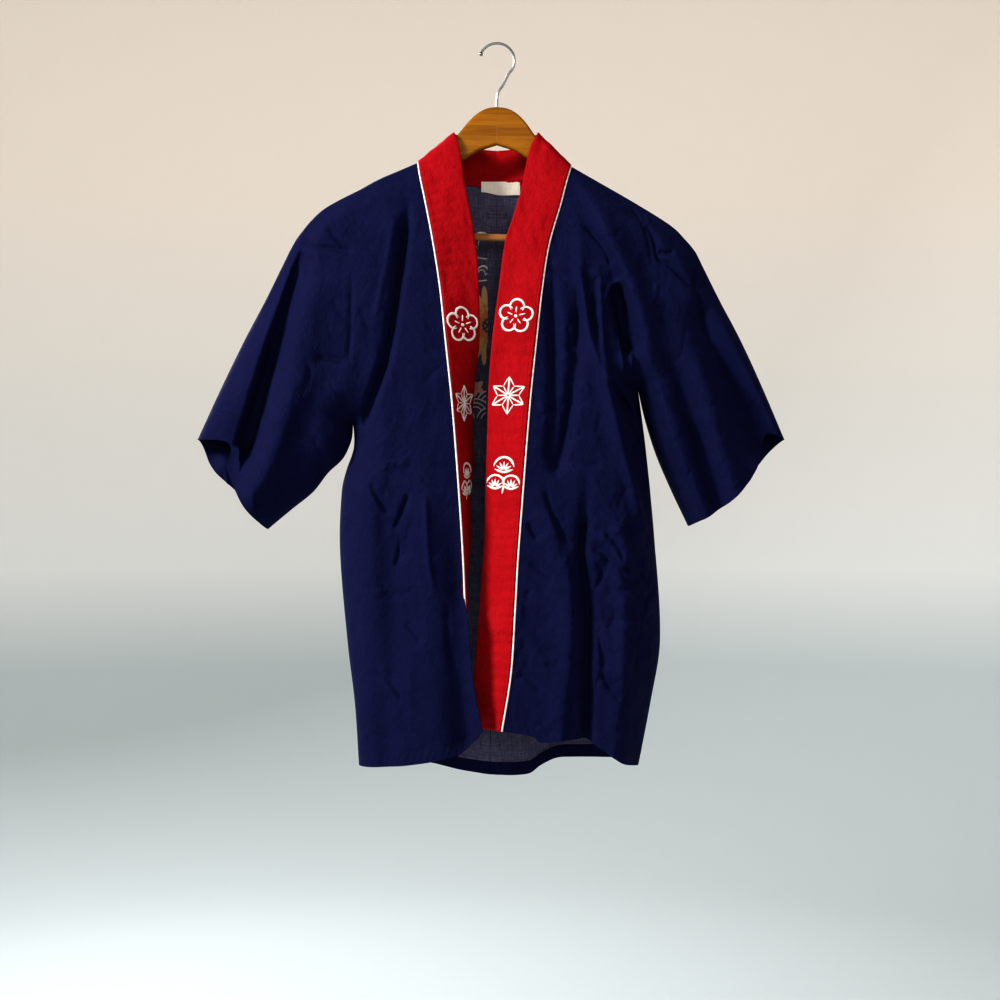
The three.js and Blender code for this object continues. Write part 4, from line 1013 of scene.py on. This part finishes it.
# ------------------------------------------------------------------ embroidery
def arc(x, y, r, start, end, width, n=14):
    a = np.radians(np.linspace(start, end, n))
    s = np.linspace(0, 1, n)
    widths = width * (0.45 + 0.55 * ease(np.minimum(s, 1 - s) * 5))
    return np.stack([x + r * np.cos(a), y + r * np.sin(a)], -1), widths


def bar(width, *xy, n=10):
    path = smooth_run(np.reshape(xy, (-1, 2)).tolist(), n)
    s = np.linspace(0, 1, n)
    return path, width * (0.4 + 0.6 * ease(np.minimum(s, 1 - s) * 5))


def petal(x, y, angle, start, end, width, bend=0.0, n=10):
    """Lens-shaped stroke pointing away from x, y."""
    s = np.linspace(0, 1, n)
    a = np.radians(angle + bend * s)
    r = mix(start, end, s)
    widths = width * np.sqrt(np.maximum(np.sin(np.pi * s ** 0.75), 0.02))
    return np.stack([x + r * np.cos(a), y + r * np.sin(a)], -1), widths


def plum(x, y, r, width):
    out = [bar(width * 1.3, x - 0.1 * r, y, x + 0.1 * r, y)]
    for k in range(5):
        a = 90 + 72 * k
        c, s = math.cos(math.radians(a)), math.sin(math.radians(a))
        out.append(arc(x + 0.58 * r * c, y + 0.58 * r * s, 0.4 * r, a - 128, a + 128, width, 16))
        out.append(bar(width * 0.6, x + 0.2 * r * c, y + 0.2 * r * s,
                       x + 0.55 * r * c, y + 0.55 * r * s, n=6))
    return out


def hemp_leaf(r, width):
    """Six-pointed hemp-leaf star: spokes, and the three lines that meet in each of its triangles."""
    out = []
    for k in range(6):
        spokes = [math.radians(90 + 60 * j) for j in (k, k + 1)]
        (ax, ay), (bx, by) = [(r * math.cos(a), r * math.sin(a)) for a in spokes]
        cx, cy = (ax + bx) / 3, (ay + by) / 3
        out.append(bar(width, 0.06 * ax, 0.06 * ay, ax, ay))
        out += [bar(width * 0.8, x, y, cx, cy) for x, y in ((0.06 * cx, 0.06 * cy), (ax, ay), (bx, by))]
    return out


def pine():
    """Three boughs, each a scalloped cap over fanned needles."""
    out = []
    for x, y, r in ((0, 11, 14), (-11, -10, 12.5), (11, -10, 12.5)):
        out.append(arc(x, y - 4, r, 8, 172, 3.4, 18))
        out.append(bar(3.0, x - 0.92 * r, y - 5, x, y - 8.5, x + 0.92 * r, y - 5))
        out += [petal(x, y - 7, a, 1.5, 0.86 * r, 3.0, n=7) for a in (32, 61, 90, 119, 148)]
    return out + [bar(3.2, 0, -4, 1, -14, -1, -25)]


def cloud(x, y, size, side=1):
    """Outer arcs, a base line and inner arcs; side -1 mirrors it. Rows: x, y, radius, from, to."""
    outer = [(-16, 0, 8, 60, 260), (-5, 7, 10, 20, 190), (11, 4, 9, -30, 150), (20, -5, 6, -110, 100)]
    inner = [(-13, -1, 4.2, 10, 250), (-3, 5, 5.6, 0, 200), (10, 1, 5.0, -60, 150)]

    def arcs(rows, width, n):
        return [arc(x + side * size * a, y + size * b, size * r,
                    *((s, e) if side > 0 else (180 - s, 180 - e)), width, n) for a, b, r, s, e in rows]

    base = bar(2.0, x - side * size * 18, y - size * 8, x, y - size * 10,
               x + side * size * 20, y - size * 11, n=14)
    return arcs(outer, 2.7, 16) + [base] + arcs(inner, 1.9, 14)


def daisy(x, y, r, petals, turn=0.0):
    width = 9.4 * r / petals
    return [petal(x, y, turn + 360 * k / petals, 0.3 * r, r, width * 0.62) for k in range(petals)]


def scales(x, y, r):
    return [arc(x, y, r * k, 14, 166, 1.9, 16) for k in (1.0, 0.72, 0.44)]


def satin(name, strokes, place, mat, height=0.75, wide=1.0, base=-0.15):
    """Strokes as low closed domes on the cloth; place gives points and normals of local x, y."""
    across = np.array([-1, -0.8, -0.45, 0, 0.45, 0.8, 1, 0.5, -0.5])
    lift = np.array([0, 0.6, 0.9, 1, 0.9, 0.6, 0, 0, 0]) * (height - base) + base
    rings, edges, uvs, faces, size = [], [], [], [], 0
    ring = len(across)
    for path, widths in strokes:
        run = np.gradient(path, axis=0)
        run /= np.maximum(np.linalg.norm(run, axis=1, keepdims=True), 1e-9)
        side = np.stack([-run[:, 1], run[:, 0]], -1)
        rings.append(path[:, None] + side[:, None] * (across[None] * widths[:, None] * wide / 2)[..., None])
        edges.append(np.minimum(1, widths * wide / 2.0))
        length = np.concatenate([[0], np.cumsum(np.linalg.norm(np.diff(path, axis=0), axis=1))])
        spread = np.broadcast_arrays(across[None] * widths[:, None] / 2, length[:, None])
        uvs.append(np.stack(spread, -1).reshape(-1, 2))
        n = len(path)
        faces += list(grid_faces(n - 1, ring, True, size, place.flip))
        first, last = [size + i for i in range(ring)], [size + (n - 1) * ring + i for i in range(ring)]
        faces += [first[::-1], last] if not place.flip else [first, last[::-1]]
        size += n * ring
    flat, thin = np.concatenate(rings), np.concatenate(edges)[:, None]
    spot, normal = place(flat[..., 0], flat[..., 1])
    p = spot + normal * (lift * np.where(lift > 0, thin, 1))[..., None]
    return new_object(name, p.reshape(-1, 3) * MM, faces, [mat], uv=np.vstack(uvs) * MM)


class OnBand:
    """Places local x (viewer's right) and y (up) on the band's front face, about a point of its length."""

    def __init__(self, part, v, w, band):
        t, self.share, self.uv, self.p, self.inner, self.n = band
        self.sign = part["sign"]
        s = FRONT_SHARE * (1 - v)
        self.row = np.interp(s if part is RIGHT else 1 - s, t, np.arange(len(t)))
        self.middle = len(self.share) // 2
        self.length = np.interp(self.row, np.arange(len(t)), self.uv[:, self.middle, 1])
        self.centre = w
        self.flip = True

    def __call__(self, x, y):
        count = len(self.p)
        length = self.length - self.sign * y
        row = np.interp(length, self.uv[:, self.middle, 1], np.arange(count))
        width = np.interp(row, np.arange(count), self.uv[:, -1, 0])
        share = self.centre - self.sign * x / width
        col = np.interp(np.clip(share, 0.01, 0.94), self.share, np.arange(len(self.share)))
        j, i = np.minimum(row.astype(int), count - 2), np.minimum(col.astype(int), len(self.share) - 2)
        fj, fi = (row - j)[..., None], (col - i)[..., None]
        pick = lambda g: mix(mix(g[j, i], g[j, i + 1], fi), mix(g[j + 1, i], g[j + 1, i + 1], fi), fj)
        return pick(self.inner), -pick(self.n)


class OnBack:
    """Places x, z on the outside of the back, or on its wrong side."""
    RAISE = 40.0         # from the design's own heights to the place between the shoulders

    def __init__(self, inside):
        self.inside = inside
        self.flip = inside

    def depth(self, x, z):
        centre = CENTRE_LEAN * (z - CENTRE_TOP) / (CENTRE_TOP - CENTRE_BOTTOM)
        return np.where(x < centre, depth_at(RIGHT, "back", x, z), depth_at(LEFT, "back", x, z))

    def __call__(self, x, z):
        z = z + self.RAISE
        y = self.depth(x, z)
        n = np.stack([self.depth(x - 0.8, z) - self.depth(x + 0.8, z), np.full(x.shape, 1.6),
                      self.depth(x, z - 0.8) - self.depth(x, z + 0.8)], -1)
        n /= np.linalg.norm(n, axis=-1, keepdims=True)
        p = np.stack([x, y, z], -1)
        return (p - n * CLOTH, -n) if self.inside else (p, n)


def collar_motifs(band):
    spots = [(plum(0, 0, 22, 3.3), 0.277, 0.285), (hemp_leaf(24, 2.6), 0.407, 0.418), (pine(), 0.548, 0.558)]
    for part, side in ((LEFT, "left"), (RIGHT, "right")):
        for i, (strokes, left_v, right_v) in enumerate(spots):
            v = left_v if part is LEFT else right_v
            satin(f"motif_{side}_{i + 1}", strokes, OnBand(part, v, 0.5, band), WHITE_SATIN)


def back_design():
    white = cloud(-14, -296, 1.25) + cloud(66, -284, 1.0, -1) + cloud(-84, -300, 0.95) + cloud(88, -452, 0.8)
    white += cloud(-22, -330, 0.7, -1) + cloud(8, -468, 0.8)
    for row in range(3):
        for k in range(5 - row % 2):
            white += scales(-88 + 40 * k + 20 * (row % 2), -498 - 11 * row, 19)
    gold = daisy(-10, -395, 52, 22) + daisy(60, -345, 31, 14) + daisy(-70, -438, 33, 14)
    orange = daisy(-10, -395, 30, 12, 15) + daisy(60, -345, 18, 9, 12) + daisy(-70, -438, 19, 9, 12)
    orange += [bar(3, 24, -430, 44, -436, 62, -424), bar(3, -52, -384, -66, -372, -80, -376)]
    blossoms = ((52, -402, 0), (82, -396, 20), (-66, -352, 10),
                (-94, -386, 30), (44, -462, 12), (-28, -476, 24))
    pink = [petal(x, y, 90 + 72 * k + turn, 2, 12.5, 9) for x, y, turn in blossoms for k in range(5)]
    hearts = [bar(4.5, x - 2, y, x + 2, y, n=6) for x, y, _ in blossoms]
    for x, y, r in ((-10, -395, 5.5), (60, -345, 3.4), (-70, -438, 3.4)):
        for a in np.arange(0, 6.2, 1.05):
            px, py = x + r * math.cos(a), y + r * math.sin(a)
            hearts.append(bar(3.6, px - 1.2, py, px + 1.2, py, n=6))
    return {"white": (white, WHITE_SATIN), "gold": (gold, GOLD_SATIN), "orange": (orange, ORANGE_SATIN),
            "pink": (pink, PINK_SATIN), "hearts": (hearts, GOLD_SATIN)}


def back_embroidery():
    for name, (strokes, mat) in back_design().items():
        satin("back_" + name, strokes, OnBack(False), mat, height=0.95, base=0.0)
        satin("reverse_" + name, strokes, OnBack(True), WRONG_SIDE_PAINTED_LIGHT[name], height=0.6, wide=0.9, base=-0.1)


def stitches(name, lines, mat, step=3.1, length=2.2, radius=0.28):
    """Rows of single stitches: each a small spindle half sunk in the cloth."""
    sides, stations = 5, np.array([0, 0.3, 0.7, 1])
    bulge = np.array([0.25, 1, 1, 0.25]) * radius
    ang = np.linspace(0, 2 * np.pi, sides, endpoint=False)
    verts, faces, size = [], [], 0
    for line, normal in lines:
        run = np.concatenate([[0], np.cumsum(np.linalg.norm(np.diff(line, axis=0), axis=1))])
        for start in np.arange(1.0, run[-1] - length, step):
            at = start + stations * length
            spot = np.stack([np.interp(at, run, line[:, k]) for k in range(3)], -1)
            up = np.array([np.interp(start, run, normal[:, k]) for k in range(3)])
            ahead = spot[-1] - spot[0]
            ahead /= np.linalg.norm(ahead)
            side = np.cross(ahead, up)
            side /= np.linalg.norm(side)
            up = np.cross(side, ahead)
            ring = np.cos(ang)[None, :, None] * side + np.sin(ang)[None, :, None] * up
            verts.append((spot[:, None] + ring * bulge[:, None, None] + up * radius * 0.35).reshape(-1, 3))
            faces += list(grid_faces(len(stations) - 1, sides, True, size, True))
            faces += [[size + k for k in range(sides)], [size + 3 * sides + k for k in range(sides)][::-1]]
            size += len(stations) * sides
    uv = np.tile(np.stack(np.broadcast_arrays(np.arange(sides)[None] * 0.2, (stations * length)[:, None]), -1)
                 .reshape(-1, 2), (size // (len(stations) * sides), 1))
    return new_object(name, np.vstack(verts) * MM, faces, [mat], uv=uv * MM)


# ------------------------------------------------------------------ hanger
CREST_LEFT = [(0, -80.6), (12, -82.2), (24, -88), (36, -99.5), (51, -120), (72, -143), (89, -163), (98, -169)]
UNDER_LEFT = [(205, -265.5), (150, -233), (95, -196), (60, -164), (45, -150.5), (24, -137), (0, -128.6)]
END_LEFT = [(214, -229.5), (223, -237), (225.5, -250), (219, -263)]
CREST_RIGHT = [(0, -80.6), (12, -82.2), (24, -88), (37, -99.5), (54, -120), (76, -140.5),
               (96, -160), (103, -163.5)]
UNDER_RIGHT = [(210, -253.5), (155, -222), (99, -191), (62, -163), (46, -150.5), (24, -137), (0, -128.6)]
END_RIGHT = [(221, -215.5), (230, -224), (232, -237), (226, -250)]
BAR_ENDS = ((-212, 0, -240.7), (206, 0, -253.5))
STEM_FOOT = -104.0


def hanger_arm(part, crest, under, end, name):
    """Plank outline with rounded long edges: rings stepped in from the faces."""
    sign = part["sign"]
    shoulder = along(part["shoulder"], np.linspace(0, 1, 11))
    keep = (np.abs(shoulder[:, 0]) > 108) & (np.abs(shoulder[:, 0]) < 210)
    top = [(abs(x), z - PLANK_DROP) for x, z in shoulder[keep]]
    ring = np.vstack([smooth_run(crest + top + end[:1], 90), smooth_run(end, 14)[1:],
                      smooth_run([end[-1]] + under, 70)[1:]])
    ring[:, 0] = np.maximum(ring[:, 0], 0.04)
    gap = np.gradient(ring, axis=0)
    out = np.stack([-gap[:, 1], gap[:, 0]], -1)
    out /= np.maximum(np.linalg.norm(out, axis=1, keepdims=True), 1e-9)
    out[[0, -1], 0] = 0
    out[ring[:, 0] <= 0.05, 0] = 0
    edge = 3.6
    layers = []
    for q in np.linspace(0, np.pi / 2, 8):
        layers.append((-PLANK_HALF + edge * (1 - math.sin(q)), edge * (1 - math.cos(q))))
    layers = layers[::-1] + [(-y, inset) for y, inset in layers]
    verts = []
    for y, inset in layers:
        r = ring - out * inset
        verts.append(np.column_stack([sign * r[:, 0], np.full(len(r), y), r[:, 1]]))
    n = len(ring)
    faces = list(grid_faces(len(layers) - 1, n, True, 0, sign < 0))
    first, last = list(range(n)), [(len(layers) - 1) * n + i for i in range(n)]
    faces += [first[::-1] if sign > 0 else first, last if sign > 0 else last[::-1]]
    obj = new_object("wood_" + name, np.vstack(verts) * MM, faces, [WOOD], node=name, slot="hanger_wood")
    obj.data.set_sharp_from_angle(angle=math.radians(50))
    return obj


def trouser_bar():
    (x0, _, z0), (x1, _, z1) = BAR_ENDS
    path = np.column_stack([np.linspace(x0, x1, 40), np.zeros(40), np.linspace(z0, z1, 40)])
    return tube_object("wood_trouser_bar", path, BAR_R, 40, [BAR_WOOD], node="trouser_bar", slot="bar_wood")


def hook():
    centre = -HOOK_R + WIRE_R
    arc = [(HOOK_R * math.cos(math.radians(a)), centre + HOOK_R * math.sin(math.radians(a)))
           for a in range(162, -49, -15)]
    stem = [(8, -51.5), (2.2, -60), (0.3, -68), (0, -80), (0, STEM_FOOT)]
    path = smooth_run(arc + stem, 240)
    path = np.column_stack([path[:, 0], np.zeros(len(path)), path[:, 1]])
    radius = np.full(len(path), WIRE_R)
    ball = np.linalg.norm(path - path[0], axis=1)
    swell = np.sqrt(np.clip(2.7 ** 2 - (ball - 1.6) ** 2, 0, None))
    radius = np.where(ball < 4.2, np.maximum(swell, np.where(ball > 2.4, WIRE_R, 0.05)), radius)
    return tube_object("wire_hook", path, radius, 24, [STEEL], node="hook", slot="hook_steel")


# ------------------------------------------------------------------ label
def label():
    rows, cols = 24, 60
    j, i = np.meshgrid(np.linspace(0, 1, rows + 1), np.linspace(0, 1, cols + 1), indexing="ij")
    x, z = mix(-20.5, 30, i), mix(-170, mix(-183.5, -187.5, ease(i * 2)), j)
    y = np.where(x < 0, depth_at(RIGHT, "back", x, z, fine=False), depth_at(LEFT, "back", x, z, fine=False))
    lift = 1.1 * ease(j) * (0.5 + 0.5 * np.sin(i * 9)) + 0.25 * noise(x, z, 6, 5, 1)
    p = np.stack([x, y - CLOTH - 1.2 - lift, z], -1)
    uv = cloth_uv(p)
    obj = shell("tape_label", p, 0.35, [LABEL, LABEL], uv, np.zeros((rows, cols), bool), True,
                node="label", slot="label_tape")
    return obj


# ------------------------------------------------------------------ build
for part, side in ((LEFT, "left"), (RIGHT, "right")):
    panel(part, "front", "front_" + side)
    panel(part, "back", "back_" + side)
    sleeve(part, "sleeve_" + side)
band = collar()
felled_strip(band[0], band[5][:, 0])
collar_motifs(band)
back_embroidery()
piping()
stitches("hem_stitches", HEM_ROWS, NAVY_THREAD)
t, _, _, p, front, n = band
stitches("collar_stitches", [(mix(front[:, 2], front[:, 3], 0.3), -n[:, 2])], RED_THREAD, step=3.3)
label()
hanger_arm(LEFT, CREST_LEFT, UNDER_LEFT, END_LEFT, "hanger_arm_left")
hanger_arm(RIGHT, CREST_RIGHT, UNDER_RIGHT, END_RIGHT, "hanger_arm_right")
trouser_bar()
hook()

# ------------------------------------------------------------------ studio
def backdrop():
    """A pale bowl: flat floor, curved cove and upright wall all round."""
    floor_z, floor_r, cove, wall_top = -1.75, 2.6, 1.6, 2.6      # metres
    profile = [(0, floor_z), (1.5, floor_z), (floor_r, floor_z)]
    profile += [(floor_r + cove * math.sin(a), floor_z + cove * (1 - math.cos(a)))
                for a in np.linspace(0.1, math.pi / 2, 12)]
    profile += [(floor_r + cove, 1.2), (floor_r + cove, wall_top)]
    sides = 96
    verts, faces = [(0, 0, floor_z)], []
    for r, z in profile[1:]:
        verts += [(r * math.cos(2 * math.pi * i / sides), r * math.sin(2 * math.pi * i / sides), z)
                  for i in range(sides)]
    for i in range(sides):
        faces.append((0, 1 + i, 1 + (i + 1) % sides))
    for j in range(len(profile) - 2):
        a = 1 + j * sides
        for i in range(sides):
            k = (i + 1) % sides
            faces.append((a + i, a + sides + i, a + sides + k, a + k))
    mesh = bpy.data.meshes.new("studio_floor")
    mesh.from_pydata(verts, [], faces)
    mesh.polygons.foreach_set("use_smooth", [True] * len(faces))
    mat, shader, add, join = material("studio paper")
    coords = add("ShaderNodeTexCoord")
    split = add("ShaderNodeSeparateXYZ")
    join(coords.outputs["Object"], split.inputs[0])
    # The paper's colour ramps with height: darker cool grey low as painted shade against the light that falls
    # there, warmer and lighter up the wall as painted light.
    ramp = add("ShaderNodeMapRange")
    ramp.inputs["From Min"].default_value = -1.2
    ramp.inputs["From Max"].default_value = 0.6
    join(split.outputs["Z"], ramp.inputs["Value"])
    blend_color = add("ShaderNodeValToRGB")
    blend_color.color_ramp.elements[0].color = (0.455, 0.50, 0.51, 1)
    blend_color.color_ramp.elements[1].color = (0.73, 0.66, 0.595, 1)
    blend_color.color_ramp.elements.new(0.2).color = (0.655, 0.66, 0.65, 1)
    blend_color.color_ramp.elements.new(0.5).color = (0.675, 0.655, 0.625, 1)
    join(ramp.outputs[0], blend_color.inputs[0])
    join(blend_color.outputs[0], shader.inputs["Base Color"])
    shader.inputs["Roughness"].default_value = 0.95
    shader.inputs["Specular IOR Level"].default_value = 0.1
    mesh.materials.append(mat)
    obj = bpy.data.objects.new("studio_floor", mesh)
    bpy.context.scene.collection.objects.link(obj)


def area_light(name, spot, aim, size, power, color=(1, 1, 1)):
    data = bpy.data.lights.new(name, "AREA")
    data.shape, data.size, data.size_y = "RECTANGLE", size[0], size[1]
    data.energy, data.color = power, color
    obj = bpy.data.objects.new(name, data)
    obj.location = spot
    away = (obj.location - Vector(aim)).to_track_quat("Z", "Y")
    obj.rotation_euler = away.to_euler()
    bpy.context.scene.collection.objects.link(obj)


backdrop()
area_light("key", (-2.5, -1.5, 1.0), (0, 0, -0.5), (0.8, 0.8), 116, (1.0, 0.98, 0.95))
area_light("fill", (0.3, -2.9, 0.3), (0, 0, -0.5), (1.2, 1.2), 13, (0.96, 0.98, 1.0))
area_light("rear", (-1.3, 2.2, 0.7), (0, 0, -0.5), (1.0, 1.0), 75)
area_light("wall", (0, 1.2, 1.6), (0, 4.2, -0.4), (3.0, 1.0), 24)
world = bpy.data.worlds.new("studio")
world.use_nodes = True
world.node_tree.nodes["Background"].inputs[0].default_value = (0.95, 0.97, 1.0, 1)
world.node_tree.nodes["Background"].inputs[1].default_value = 0.2
bpy.context.scene.world = world
bpy.context.scene.view_settings.view_transform = "Standard"
bpy.context.scene.view_settings.look = "High Contrast"

camera = bpy.data.cameras.new("camera")
camera.sensor_width, camera.lens = 36.0, 54.0
camera_object = bpy.data.objects.new("camera", camera)
camera_object.location = (0.00384, -1.92, -0.58304)
camera_object.rotation_euler = (math.pi / 2, 0, 0)
bpy.context.scene.collection.objects.link(camera_object)
bpy.context.scene.camera = camera_object
